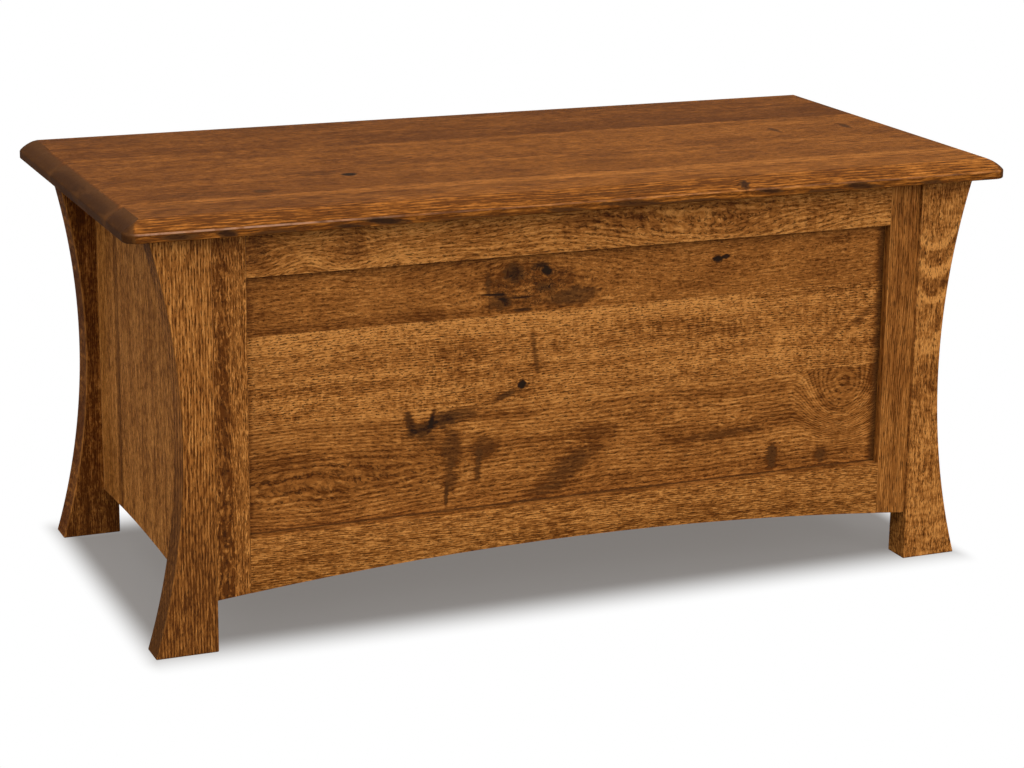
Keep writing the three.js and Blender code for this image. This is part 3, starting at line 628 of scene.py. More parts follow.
# The figures of the boards in the photo
FIGURES = {
    "front_left_leg": {
        **RIFT, "Pith Across": -300.0, "Ring Width": 3.4, "Tone": 0.63, "Rings": 0.6, "Lines": 1.3,
        "Wander": 8.0, "Streak": 0.7, "edge": 0.1, "wear_and_highlight": 0.12,
        "marks": ((30, 0, 210, 120, 0.3, 0.1, 0.6),)},
    "front_right_leg": {
        **PLAIN, "Pith Across": 8.0, "Pith Depth": 30.0, "Ring Width": 4.5, "Wander": 30.0,
        "Ripple": 5.0, "Flame": 0.42, "Tone": 0.71, "Bands": 0.2, "Rings": 0.15, "Lines": 1.05,
        "Flakes": -0.34, "edge": 0.1, "wear_and_highlight": 0.12, "sag": (-14.0, 0.026),
        "marks": (
            (476, 0, 14, 60, 0.15, 0.3, 0.6),
            (432, 0, 9, 60, 0.12, 0.4, 0.6),
            (409, 0, 5, 60, -0.5, 0.22, 0.3, 0.05),
            (395, 0, 7, 60, 0.2, 0.3, 0.4),
            (375, 0, 6.5, 60, -0.5, 0.25, 0.3, -0.05),
            (357, 0, 8, 60, 0.18, 0.3, 0.4),
            (340, 0, 4.5, 60, -0.5, 0.22, 0.3),
            (316, 0, 12, 60, 0.16, 0.4, 0.6, 0.1),
            (286, 0, 10, 60, -0.24, 0.4, 0.6, 0.35),
            (236, 0, 26, 60, 0.16, 0.5, 0.8, 0.2))},
    "back_left_leg": {**QUARTERED, "Flame": 0.35, "Tone": 0.19, "Bands": 0.5},
    "back_right_leg": RIFT,
    "front_left_stile": {
        **QUARTERED, "Tone": 0.39, "Flakes": 0.42, "Ripple": 3.2, "Wander": 20.0, "Lines": 1.1,
        "marks": (
            (60, -8, 330, 8, 0.42, 0.6, 0.7, 0, 3, 0.4),
            (52, 6, 1.5, 7, 0.9, 0.2, 0.4))},
    "front_right_stile": {
        **RIFT, "Tone": 0.52, "Lines": 0.8, "Rings": 0.4, "Streak": 1.0,
        "marks": ((300, -4, 200, 3, 0.25, 0.5, 0.7, 0.01, 0, 0.3),)},
    "front_top_rail": {
        **PLAIN, "Pith Across": -90.0, "Pith Depth": 40.0, "Ring Width": 4.0, "Wander": 34.0,
        "Ripple": 4.0, "Tone": 0.70, "Bands": 0.5, "Lines": 1.0, "Curl": 0.4, "Clouds": 0.55,
        "marks": (
            (-292, 0, 20, 20, 0.4, 0.5, 0.7, 0.5, 7, 0.3),
            (-405, 4, 22, 24, 0.5, 0.6, 0.7, 0.2, 6, 0.5),
            (150, 0, 80, 20, 0.08, 0.5, 0.8, 0.1, 6))},
    "front_bottom_rail": {
        **QUARTERED, "Tone": 0.55, "Flakes": 0.3, "Ripple": 3.5, "Lines": 1.25, "Curl": 0.25},
    "front_panel_board_3": {
        **PLAIN, "Pith Across": 30.0, "Pith Depth": 70.0, "Tone": 0.46, "Wander": 22.0,
        "Clouds": 0.4, "Lines": 0.8, "Rings": 0.2, "Pores": 0.7, "Streak": 0.35,
        "marks": (
            (-58, -7, 66, 27, 0.24, 0.3, 0.35, 0.03, 9),
            (-60, -8, 46, 22, 0.8, 0.5, 0.4, 0.05, 0, 1),
            (-84, 9, 11, 9, 0.95, 0.7, 0.6, 0.3, 2, 0.2),
            (-42, 8, 7, 4.5, 1.35, 0.45, 0.35, 0.5, 2),
            (-49, 16, 8, 3, 0.9, 0.5, 0.5, 0.1),
            (-109, -15.5, 13, 1.2, 1.2, 0.5, 0.6, 0.05),
            (-97, -22, 8, 3.5, 0.75, 0.8, 0.8, 0.8),
            (-103, -26, 15, 9, 0.45, 0.7, 0.6, 0, 0, 0.2),
            (-74, -21.5, 12, 1.2, 0.9, 0.4, 0.6),
            (-72, -36.5, 11, 2, 0.9, 0.4, 0.5),
            (-117, 0, 3.5, 14, 0.35, 0.5, 0.7),
            (-2, -26, 34, 11, 0.42, 0.4, 0.6, -0.12),
            (-66, -12, 10, 6, -0.34, 0.4, 0.6),
            (-47, -12, 14, 5, 0.42, 0.5, 0.6, 0.1, 0, 0.3),
            (183, 5, 6.5, 4, 1.4, 0.4, 0.3, 0.2, 4),
            (194, 7, 5, 3, 1.2, 0.4, 0.3),
            (-250, -34, 150, 8, 0.22, 0.5, 0.8, 0, 0, 0.2),
            # Painted shade along the top edge, under the top rail
            (0, 31.5, 700, 3, 0.7, 0.1, 0.6), *PANEL_END_SHADE)},
    "front_panel_board_2": {
        **PLAIN, "Pith Across": 150.0, "Pith Depth": 60.0, "Tone": 0.68, "Curl": 0.5,
        "Wander": 22.0, "Lines": 1.05, "Pores": 0.95, "Streak": 0.4,
        "marks": (
            (-72, -34, 5, 5, 1.3, 0.4, 0.3, 0, 4),
            (-76, -38, 17, 9, 0.28, 0.5, 0.8),
            (-95, -46, 11, 4, 0.55, 0.5, 0.6, -0.3),
            (-56, 4, 3.5, 34, 0.42, 0.5, 0.6, -0.16),
            (-160, 12, 40, 24, 0.2, 0.5, 0.7),
            (150, 20, 80, 9, 0.2, 0.6, 0.8, 0.15, 0, 0.3),
            (320, 47, 90, 4, 0.5, 0.6, 0.5, 0, 0, 0.4),
            (385, 8, 24, 5, 0.36, 0.6, 0.6, -0.7),
            (345, -6, 24, 4, 0.3, 0.6, 0.7, -0.6),
            (270, -22, 6, 18, -0.2, 0.3, 0.6),
            (-150, 43, 500, 12, -0.22, 0.15, 0.6), *PANEL_END_SHADE)},
    "front_panel_board_1": {
        **PLAIN, "Pith Across": -110.0, "Pith Depth": 45.0, "Tone": 0.53, "Wander": 32.0,
        "Ripple": 4.5, "Clouds": 0.5, "Flakes": 0.1, "Curl": 0.3, "Streak": 0.5, "Ring Width": 5.0,
        "Rings": 0.48, "Bands": 0.6,
        "marks": (
            (-215, 58, 13, 4.5, 0.95, 0.9, 0.8, 1.2),
            (-201, 45, 17, 5.5, 1.05, 0.9, 0.8, -0.25, 0, 0.15),
            (-187, 56, 13, 2.4, 1, 0.9, 0.9, -1.25),
            (-174, 53, 15, 8, 0.95, 0.9, 0.7, -0.1, 0, 0.3),
            (-150, 59, 26, 9, 0.42, 0.5, 0.5),
            (-192, 33, 15, 10, 0.5, 0.7, 0.7, 0.4, 0, 0.3),
            (-162, 18, 14, 25, 0.42, 0.4, 0.45, 0.05),
            (-163, -21, 9, 15, 0.4, 0.5, 0.6, 0.1),
            (-168, -40, 2.5, 12, 0.65, 0.4, 0.6, 0.05),
            (-120, 15, 18, 15, 0.37, 0.5, 0.5),
            (-128, -10, 4.5, 18, 0.46, 0.5, 0.6, 0.1),
            (24, 20, 32, 8, 0.26, 0.4, 0.7),
            (-8, -20, 44, 15, 0.42, 0.4, 0.65, -0.55),
            (-45, -50, 40, 8, 0.25, 0.4, 0.7, -0.2),
            (195, -2, 72, 6, 0.5, 0.6, 0.6, -0.04, 0, 0.3),
            (267, -38, 7, 16, 0.7, 0.5, 0.6),
            (337, -44, 9, 10, 0.5, 0.5, 0.7),
            (366, 36, 26, 26, 0.04, 0.2, 0.9, 0, 62),
            (-320, -6, 80, 26, 0.24, 0.5, 0.8, 0.1, 8, 0.4),
            # Painted shade along the bottom edge, above the bottom rail
            (0, -60, 700, 2.5, 0.6, 0.1, 0.6), *PANEL_END_SHADE)},
    "lid_board_1": {
        **LID, "Tone": 0.46, "Ripple": 2.8, "Ring Width": 4.5, "Rings": 0.6, "Lines": 1.5,
        # The rim's painted highlight is full at the left end and falls to a fifth between 400 and
        # 200 mm left of the middle
        "Streak": 1.0, "edge": 0.05, "wear and highlight until": (-400.0, -200.0, 1.0, 0.2),
        "marks": (
            (160, 38, 560, 5, -0.4, 0.15, 0.5), *LID_ENDS,
            (195, -36, 6, 5, 1, 0.5, 0.4, 0, 4),
            (-20, -34, 130, 4, 0.35, 0.5, 0.7, 0.02, 0, 0.6),
            (110, -32, 110, 4, 0.4, 0.5, 0.7, -0.02, 0, 0.6),
            (330, -30, 130, 5, 0.35, 0.5, 0.7, 0.02, 0, 0.6)),
        "edge marks": (
            (-500, -7, 18, 3, 0.8, 0.5, 0.5),
            (-444, -7, 10, 4, 0.9, 0.4, 0.5, 0.1),
            (-390, -10, 30, 2, 0.7, 0.5, 0.5, 0, 0, 0.2),
            (-300, -10, 20, 2.5, 0.9, 0.5, 0.5, 0.1),
            (-262, -6, 26, 3.5, 1, 0.5, 0.5, 0.12),
            (-160, -10, 50, 1.5, 0.7, 0.5, 0.5, 0, 0, 0.4),
            (-41, -9, 22, 2.5, 0.8, 0.5, 0.5, 0.05),
            (50, -8, 40, 3, 1, 0.5, 0.5, 0.06, 0, 0.2),
            (130, -10, 34, 2, 0.8, 0.5, 0.5),
            (228, -5, 16, 2, 1, 0.4, 0.5, 0.05),
            (300, -10, 30, 2, 0.8, 0.5, 0.5),
            (350, -7, 24, 3.5, 1, 0.5, 0.5, 0.12),
            (450, -9, 16, 2, 0.7, 0.5, 0.5))},
    "lid_board_2": {
        **LID, "Tone": 0.38,
        "marks": (
            (-240, 31, 9, 7, 1.5, 0.3, 0.3, 0, 4),
            (-270, 44, 34, 14, 0.25, 0.5, 0.8, 0.2, 3),
            (-366, -30, 10, 8, 0.5, 0.5, 0.6, 0, 3),
            (-440, -26, 60, 12, 0.2, 0.5, 0.8),
            (60, -58, 700, 7, -0.4, 0.15, 0.5), *LID_ENDS)},
    "lid_board_3": {
        **LID, "Tone": 0.42,
        "marks": (
            (484, -8, 5, 15, 0.8, 0.4, 0.6, 0.1, 3),
            (380, -6, 4, 17, 0.6, 0.4, 0.6, 0, 2),
            (0, -50, 700, 20, 0.1, 0.4, 0.8), *LID_ENDS)},
    "lid_board_4": {
        **LID, "Tone": 0.22,
        "marks": (
            (150, -34, 360, 9, 0.16, 0.2, 0.7),
            (-460, -40, 200, 6, -0.2, 0.3, 0.7))},
    "lid_board_5": {**LID, "Tone": 0.25},
    "left_side_board_1": {**SIDE, "Tone": 0.6},
    "left_side_board_2": {
        **SIDE, "Tone": 0.62, "marks": ((0, 40, 600, 14, 0.1, 0.2, 0.7),)},
    "left_side_board_3": {**SIDE, "Tone": 0.6},
    "left_side_board_4": {
        **SIDE, "Tone": 0.6, "Lines": 1.3, "marks": ((240, -47, 600, 8, 0.35, 0.15, 0.7),)},
}


def figure_of(node, standard):
    """The board's own figure, or the standard one varied by its name."""
    figure = dict(FIGURES.get(node, standard))
    chance = random.Random(node)
    if node not in FIGURES:
        figure["Pith Across"] = figure["Pith Across"] * chance.uniform(*PITH_VARIES)
        figure["Tone"] = figure["Tone"] + chance.uniform(-TONE_VARIES, TONE_VARIES)
    shifts = [chance.uniform(-SHIFT, SHIFT) for _ in range(3)]
    figure["shift"] = shifts[0]
    figure["tilt"] = chance.uniform(-TILT, TILT)
    return figure


def oak_colours(kind):
    """The colours of stained oak, of the lid (a darker copy, as painted shade), or of the bare
    inner wood.
    """
    oak = bpy.context.scene.blanket_chest.oak
    names = {
        "stained": ("light", "middle", "dark", "pore"),
        "lid": ("lid_light", "lid_middle", "lid_dark", "pore"),
        "bare": ("bare_light", "bare_middle", "bare_dark", "bare_dark"),
    }[kind]
    return {
        label: rgba(getattr(oak, name))
        for label, name in zip(("Light", "Middle", "Dark", "Pore"), names)}


def board_place(net, node, lay):
    """Where a point lies on its board, in millimetres, and how far its face looks each way."""
    coordinates = net.add("ShaderNodeTexCoord").outputs
    axes = dict(zip("XYZ", net.apart(coordinates["Object"])))
    facing = dict(zip("XYZ", net.apart(coordinates["Normal"])))
    low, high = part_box(node)
    centre = dict(zip("XYZ", (low + high) / 2 / MILLIMETRE))
    board = net.scaled(net.together(*(axes[axis] for axis in lay)), 1 / MILLIMETRE)
    middle = Vector((0.0, centre[lay[1]], centre[lay[2]]))
    return net.vector("SUBTRACT", board, middle), facing


def add_marks(net, rows, place, shown, swing, parting, stain_and_shade):
    """Adds the knots, stains and painted shade of some rows to the swing, the parting and the stain
    so far.
    """
    for along, across, half_length, half_width, dark, ragged, softness, *rest in rows:
        turn, swung, broken = (*rest, 0, 0, 0)[:3]
        mark = net.add("ShaderNodeGroup", node_tree=shared_group("Oak Mark", mark_group))
        for label, value in (
                ("Board", place), ("Centre", (along, across, 0.0)), ("Turn", turn),
                ("Half Length", half_length), ("Half Width", half_width), ("Ragged", ragged),
                ("Softness", softness), ("Broken", broken)):
            net.put(mark.inputs[label], value)
        if swung > 0:
            swing = net.times_plus(mark.outputs["Swing"], swung, swing)
            parting = net.sum(mark.outputs["Parting"], parting)
        seen = net.times(mark.outputs["Stain"], shown)
        stain_and_shade = net.times_plus(seen, dark, stain_and_shade)
    return swing, parting, stain_and_shade


def wear_and_highlight_share(net, figure, board, along, end_grain):
    """How much of its stain a place has lost where the arrises are eased: partly wear, partly a
    painted highlight.
    """
    arris = net.add("ShaderNodeAttribute", attribute_name="arris").outputs["Fac"]
    wear_and_highlight = net.times(arris, net.minus(1.0, end_grain))
    wear_and_highlight_patches = net.noise(board, PATTERNS["wear_and_highlight_patches"])
    wear_and_highlight = net.times(wear_and_highlight, net.span(wear_and_highlight_patches, *SPANS["wear_and_highlight_patches"]))
    if "wear and highlight until" in figure:
        wear_and_highlight = net.times(wear_and_highlight, net.span(along, *figure["wear and highlight until"]))
    return net.times(wear_and_highlight, figure.get("wear_and_highlight", WEAR_AND_HIGHLIGHT))


def oak_material(node, lay, standard, kind="stained"):
    """Oak for one board. The pattern is fixed in the board: its grain runs on round every edge."""
    figure, colours = figure_of(node, standard), oak_colours(kind)
    material, net = blank_material("Oak " + node.replace("_", " ").title())
    board, facing = board_place(net, node, lay)
    end_grain = net.span(net.absolute(facing[lay[0]]), *END_FROM)
    # Faces along the board's width are darker: partly edge grain, partly painted shade
    edge_grain_and_shade = net.span(net.absolute(facing[lay[1]]), *figure.get("edge from", EDGE_FROM))
    patches = net.span(net.noise(board, PATTERNS["end patches"]), *SPANS["end patches"])
    stain_and_shade = net.times(end_grain, net.times(patches, figure.get("end", END_GRAIN_STAIN)))
    stain_and_shade = net.times_plus(edge_grain_and_shade, figure.get("edge", 0.0), stain_and_shade)
    x, y, z = net.apart(board)
    on_face = board
    if "sag" in figure:
        vertex, sag = figure["sag"]
        from_vertex = net.minus(y, vertex)
        on_face = net.vector("SUBTRACT", board, net.together(
            net.times(net.times(from_vertex, from_vertex), sag)))
    marked = add_marks(net, figure.get("marks", ()), on_face, 1.0, 0.0, 0.0, stain_and_shade)
    if "edge marks" in figure:
        on_edge = net.together(x, z, y)
        at_edge = net.span(net.absolute(facing[lay[1]]), *EDGE_FROM)
        marked = add_marks(net, figure["edge marks"], on_edge, at_edge, *marked)
    swing, parting, stain_and_shade = marked

    seeded = net.made("ShaderNodeMapping", {
        "Vector": board, "Rotation": (0.0, 0.0, figure["tilt"]),
        "Location": (figure["shift"], 0.0, 0.0)})
    group = net.add("ShaderNodeGroup", node_tree=shared_group("Oak Figure", figure_group))
    for label in PLAIN:
        net.put(group.inputs[label], figure[label])
    for label in ("Lines", "Rings", "Pores"):
        net.put(group.inputs[label], net.times_plus(
            end_grain, -END_GRAIN_LOSS * figure[label], figure[label]))
    for label, value in (
            ("Board", seeded), ("Swing", swing), ("Parting", parting), ("Stain", stain_and_shade),
            *colours.items()):
        net.put(group.inputs[label], value)

    # Arrises turn paler: partly wear, partly a painted highlight
    wear_and_highlight = wear_and_highlight_share(net, figure, board, x, end_grain)
    wear_and_highlight_colour = rgba(figure["wear and highlight colour"]) if "wear and highlight colour" in figure else colours["Light"]
    finish = net.blend(wear_and_highlight, group.outputs["Colour"], wear_and_highlight_colour)
    sheen = net.noise(board, PATTERNS["sheen"])
    smoothest, roughest = figure.get("roughness", ROUGHNESS)
    roughness = net.sum(
        net.straight_span(sheen, *SPANS["sheen"], smoothest, roughest),
        net.times(group.outputs["Open Pores"], PORE_ROUGHNESS))
    relief = net.made("ShaderNodeBump", {
        "Strength": bpy.context.scene.blanket_chest.oak.relief, "Distance": PORE_DEPTH,
        "Height": net.minus(1.0, group.outputs["Open Pores"])})
    shader = net.made("ShaderNodeBsdfPrincipled", {
        "Base Color": finish, "Roughness": roughness, "Normal": relief,
        "Specular IOR Level": OAK_SPECULAR})
    net.add("ShaderNodeOutputMaterial", {"Surface": shader})
    return material


# Metal

def metal_material(name, bright, dull, metallic, smoothest, roughest, spot, relief):
    """Metal or coated metal that varies in spots of about the given size in millimetres."""
    material, net = blank_material(name)
    place = net.scaled(net.add("ShaderNodeTexCoord").outputs["Object"], 1 / MILLIMETRE)
    patches = net.noise(place, ((spot * SPOTS_PER_PATCH,) * 3, *METAL_PATCHES))
    grain = net.noise(place, ((spot,) * 3, *METAL_GRAIN))
    tint = net.blend(net.span(patches, *SPANS["metal patches"]), rgba(bright), rgba(dull))
    roughness = net.straight_span(grain, *SPANS["metal grain"], smoothest, roughest)
    bump = net.made("ShaderNodeBump", {
        "Strength": relief, "Distance": METAL_GRAIN_DEPTH, "Height": grain})
    shader = net.made("ShaderNodeBsdfPrincipled", {
        "Base Color": tint, "Metallic": metallic, "Roughness": roughness, "Normal": bump})
    net.add("ShaderNodeOutputMaterial", {"Surface": shader})
    return material


# Each slot's name, bright and dull colour, metallic, least and most roughness, spot and relief
METALS = {
    "hinge_brass": (
        "Aged Brass", (0.50, 0.34, 0.14), (0.22, 0.14, 0.06), 1.0, 0.28, 0.46, 0.8, 0.15),
    "stay_steel": (
        "Black Powder Coat", (0.018, 0.018, 0.020), (0.030, 0.030, 0.032), 0.0, 0.40, 0.58,
        0.35, 0.35),
    "pin_steel": (
        "Zinc Plated Steel", (0.62, 0.62, 0.64), (0.46, 0.46, 0.48), 1.0, 0.24, 0.40, 0.6, 0.1),
}


def metal(slot):
    return bpy.data.materials.get(METALS[slot][0]) or metal_material(*METALS[slot])


# Pieces

def ease_arrises(mesh, width, level=None):
    """Rounds every sharp edge, or those at one level, and marks the narrow faces so made."""
    shape = bmesh.new()
    shape.from_mesh(mesh)
    bmesh.ops.remove_doubles(shape, verts=shape.verts, dist=WELD)
    bmesh.ops.dissolve_limit(
        shape, angle_limit=FLAT_BELOW, verts=shape.verts, edges=shape.edges, delimit=set())
    arris = shape.faces.layers.float.new("arris")
    sharp = [
        edge for edge in shape.edges
        if edge.is_manifold and edge.calc_face_angle() > ARRIS_ABOVE]
    if level is not None:
        sharp = [
            edge for edge in sharp
            if all(abs(vert.co.z - level) < LEVEL_WITHIN for vert in edge.verts)]
    eased = bmesh.ops.bevel(
        shape, geom=sharp, offset=width, offset_type="OFFSET", segments=EASING_STEPS,
        profile=0.5, affect="EDGES", clamp_overlap=True)
    for face in eased["faces"]:
        face[arris] = 1.0
    shape.to_mesh(mesh)
    shape.free()


def smooth(mesh):
    mesh.shade_smooth()
    mesh.set_sharp_from_angle(angle=SMOOTH_BELOW)


def take_place(piece, node, material):
    """The piece stands for a CAD node: it rides on its body and takes the slot's finish."""
    piece.data.materials.clear()
    piece.data.materials.append(material)
    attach(piece, frame["nodes"][node]["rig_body"])
    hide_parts(node)


def new_piece(name, mesh):
    piece = bpy.data.objects.new(name, mesh)
    bpy.context.scene.collection.objects.link(piece)
    return piece


def eased_copy(node, suffix, material, width, level=None):
    mesh = frame["nodes"][node].data.copy()
    mesh.name = f"{node}_{suffix}"
    ease_arrises(mesh, width, level)
    smooth(mesh)
    piece = new_piece(f"{node}_{suffix}", mesh)
    take_place(piece, node, material)
    return piece


def finish_node(node, material):
    """A CAD node whose shape is right keeps its mesh and takes a finish."""
    cad = frame["nodes"][node]
    cad.data.materials.clear()
    cad.data.materials.append(material)


def end_tree(net, geometry, material, output):
    """Ends a Geometry Nodes tree in real geometry that has its material."""
    solid = net.made("GeometryNodeRealizeInstances", {"Geometry": geometry})
    finished = net.made(
        "GeometryNodeSetMaterial", {"Geometry": solid, "Material": material})
    net.put(net.add("NodeGroupOutput").inputs[output], finished)


def socket_id(tree, name):
    return next(item.identifier for item in tree.interface.items_tree if item.name == name)


def grown(name, tree, values, source=None):
    """Runs a Geometry Nodes tree with the named inputs and keeps its result as a plain mesh."""
    host = new_piece(name, source or bpy.data.meshes.new(name))
    modifier = host.modifiers.new(name, "NODES")
    modifier.node_group = tree
    for label, value in values.items():
        modifier[socket_id(tree, label)] = value
    ready = host.evaluated_get(bpy.context.evaluated_depsgraph_get())
    mesh = bpy.data.meshes.new_from_object(ready)
    mesh.name = name
    host.modifiers.remove(modifier)
    host.data = mesh
    return host


# Legs

LEG_INPUTS = (
    ("Height", FLOAT, LEG_HIGH.z),
    ("Foot Width", FLOAT, LEG_HIGH.x - LEG_LOW.x),
    ("Waist Width", FLOAT, LEG_WAIST),
    ("Waist Height", FLOAT, LEG_WAIST_HEIGHT),
    ("Thickness", FLOAT, LEG_HIGH.y - LEG_LOW.y),
    ("Steps", INTEGER, LEG_STEPS),
    ("Inner Edge", FLOAT, LEG_LOW.x),
    ("Rear Face", FLOAT, LEG_HIGH.y),
    ("Half Turn", FLOAT, 0.0),
    ("Material", MATERIAL, None),
)


def hollowed_leg_tree():
    """A leg with one hollow arc outside: a grid is bent to the outline and made thick."""
    tree = new_group(
        "Hollowed Leg", "GeometryNodeTree", LEG_INPUTS, (("Leg", GEOMETRY, None),))
    net = Wiring(tree)
    given = net.add("NodeGroupInput").outputs
    grid = net.add("GeometryNodeMeshGrid", {
        "Size X": 1.0, "Size Y": 1.0, "Vertices X": 2,
        "Vertices Y": net.sum(given["Steps"], 1)}).outputs["Mesh"]
    across, along, _ = net.apart(net.made("GeometryNodeInputPosition"))
    height = net.times(net.sum(along, 0.5), given["Height"])
    hollow = net.minus(given["Foot Width"], given["Waist Width"])
    radius = net.over(
        net.sum(
            net.times(hollow, hollow), net.times(given["Waist Height"], given["Waist Height"])),
        net.times(hollow, 2.0))
    off_waist = net.minus(height, given["Waist Height"])
    flare = net.minus(radius, net.math("SQRT", net.minus(
        net.times(radius, radius), net.times(off_waist, off_waist))))
    width = net.sum(given["Waist Width"], flare)
    outward = net.times(net.sum(across, 0.5), width)
    outline = net.made("GeometryNodeSetPosition", {
        "Geometry": grid,
        "Position": net.together(
            net.sum(given["Inner Edge"], outward), given["Rear Face"], height)})
    front = net.add("GeometryNodeExtrudeMesh", {
        "Mesh": outline, "Offset": (0.0, -1.0, 0.0), "Offset Scale": given["Thickness"],
        "Individual": False}).outputs["Mesh"]
    back = net.made("GeometryNodeFlipFaces", {"Mesh": outline})
    whole = net.add("GeometryNodeJoinGeometry")
    net.tree.links.new(front, whole.inputs[0])
    net.tree.links.new(back, whole.inputs[0])
    merged = net.made("GeometryNodeMergeByDistance", {
        "Geometry": whole.outputs[0], "Distance": WELD})
    placed = net.made("GeometryNodeTransform", {
        "Geometry": merged, "Rotation": net.together(0.0, 0.0, given["Half Turn"])})
    end_tree(net, placed, given["Material"], "Leg")
    return tree


class ShapeLegs(bpy.types.Operator):
    """Shapes the four legs, each hollowed along its outer edge, and finishes them"""
    bl_idname = "blanket_chest.shape_legs"
    bl_label = "Shape Legs"
    bl_options = {"REGISTER", "UNDO"}

    def execute(self, context):
        legs = context.scene.blanket_chest.legs
        tree = hollowed_leg_tree()
        for end in ENDS:
            for side in SIDES:
                node = f"{end}_{side}_leg"
                low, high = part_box(node)
                turned = side == "left"
                material = oak_material(node, UP_FRONT, RIFT)
                piece = grown(f"{node}_oak", tree, {
                    "Height": legs.height, "Foot Width": legs.foot_width,
                    "Waist Width": legs.waist_width, "Waist Height": legs.waist_height,
                    "Thickness": legs.thickness, "Steps": legs.steps,
                    "Inner Edge": -high.x if turned else low.x,
                    "Rear Face": -low.y if turned else high.y,
                    "Half Turn": math.pi if turned else 0.0,
                    "Material": material})
                ease_arrises(piece.data, legs.easing)
                smooth(piece.data)
                take_place(piece, node, material)
        return {"FINISHED"}


# Case

class FitFrames(bpy.types.Operator):
    """Fits the stiles and rails of the front and back frames, with their arrises eased"""
    bl_idname = "blanket_chest.fit_frames"
    bl_label = "Fit Frames"
    bl_options = {"REGISTER", "UNDO"}

    def execute(self, context):
        easing = context.scene.blanket_chest.oak.easing
        for end in ENDS:
            pieces = [(f"{end}_{side}_stile", UP_FRONT, QUARTERED) for side in SIDES]
            pieces += [(f"{end}_{place}_rail", ACROSS_FRONT, PLAIN) for place in ("top", "bottom")]
            for node, lay, standard in pieces:
                material = oak_material(node, lay, standard)
                eased_copy(node, "oak", material, easing)
        return {"FINISHED"}


class FinishPanels(bpy.types.Operator):
    """Finishes the front and back panels, board by board"""
    bl_idname = "blanket_chest.finish_panels"
    bl_label = "Finish Panels"
    bl_options = {"REGISTER", "UNDO"}

    def execute(self, context):
        for end in ENDS:
            for number in (1, 2, 3):
                node = f"{end}_panel_board_{number}"
                finish_node(node, oak_material(node, ACROSS_FRONT, PLAIN))
        return {"FINISHED"}


class FinishSides(bpy.types.Operator):
    """Finishes the upright boards of the two sides"""
    bl_idname = "blanket_chest.finish_sides"
    bl_label = "Finish Sides"
    bl_options = {"REGISTER", "UNDO"}

    def execute(self, context):
        for side in SIDES:
            for number in (1, 2, 3, 4):
                node = f"{side}_side_board_{number}"
                finish_node(node, oak_material(node, UP_SIDE, SIDE))
        return {"FINISHED"}


class FinishBottom(bpy.types.Operator):
    """Finishes the bottom panel and the cleats that carry it"""
    bl_idname = "blanket_chest.finish_bottom"
    bl_label = "Finish Bottom"
    bl_options = {"REGISTER", "UNDO"}

    def execute(self, context):
        lays = {
            "bottom_panel": ACROSS_TOP,
            "front_bottom_cleat": ACROSS_FRONT, "back_bottom_cleat": ACROSS_FRONT,
            "right_bottom_cleat": FRONT_TO_BACK, "left_bottom_cleat": FRONT_TO_BACK,
        }
        for node, lay in lays.items():
            finish_node(node, oak_material(node, lay, LINING, "bare"))
        return {"FINISHED"}


# Lid

class ShapeLid(bpy.types.Operator):
    """Shapes the five lid boards, with the arris of their rim eased, and the battens below them"""
    bl_idname = "blanket_chest.shape_lid"
    bl_label = "Shape Lid"
    bl_options = {"REGISTER", "UNDO"}

    def execute(self, context):
        oak = context.scene.blanket_chest.oak
        for number in (1, 2, 3, 4, 5):
            node = f"lid_board_{number}"
            material = oak_material(node, ACROSS_TOP, LID, "lid")
            rim_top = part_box(node)[0].z + LID_RIM
            eased_copy(node, "oak", material, oak.lid_easing, rim_top)
        for side in SIDES:
            node = f"{side}_lid_batten"
            material = oak_material(node, FRONT_TO_BACK, LINING, "bare")
            eased_copy(node, "wood", material, oak.easing)
        return {"FINISHED"}


# Hardware

class FitHinges(bpy.types.Operator):
    """Fits the leaves and pins of the two butt hinges"""
    bl_idname = "blanket_chest.fit_hinges"
    bl_label = "Fit Hinges"
    bl_options = {"REGISTER", "UNDO"}

    def execute(self, context):
        edge = context.scene.blanket_chest.hardware.edge
        for side in SIDES:
            for part in ("case_leaf", "lid_leaf", "pin"):
                eased_copy(
                    f"{side}_hinge_{part}", "brass", metal("hinge_brass"), edge)
        return {"FINISHED"}


class FitStays(bpy.types.Operator):
    """Fits the plates, arms, links, brackets and pins of the two lid stays"""
    bl_idname = "blanket_chest.fit_stays"
    bl_label = "Fit Stays"
    bl_options = {"REGISTER", "UNDO"}

    def execute(self, context):
        edge = context.scene.blanket_chest.hardware.edge
        for side in SIDES:
            for part in ("case_plate", "arm", "link", "lid_bracket"):
                eased_copy(
                    f"{side}_stay_{part}", "steel", metal("stay_steel"), edge)
            for part in ("case_pin", "elbow_pin", "lid_pin"):
                eased_copy(
                    f"{side}_stay_{part}", "zinc", metal("pin_steel"), edge)
        return {"FINISHED"}


SCREW_INPUTS = (
    ("Places", GEOMETRY, None),
    ("Head Radius", FLOAT, HEAD_RADIUS),
    ("Head Depth", FLOAT, HEAD_DEPTH),
    ("Recess", FLOAT, RECESS),
    ("Turn Seed", INTEGER, TURN_SEED),
    ("Material", MATERIAL, None),
)


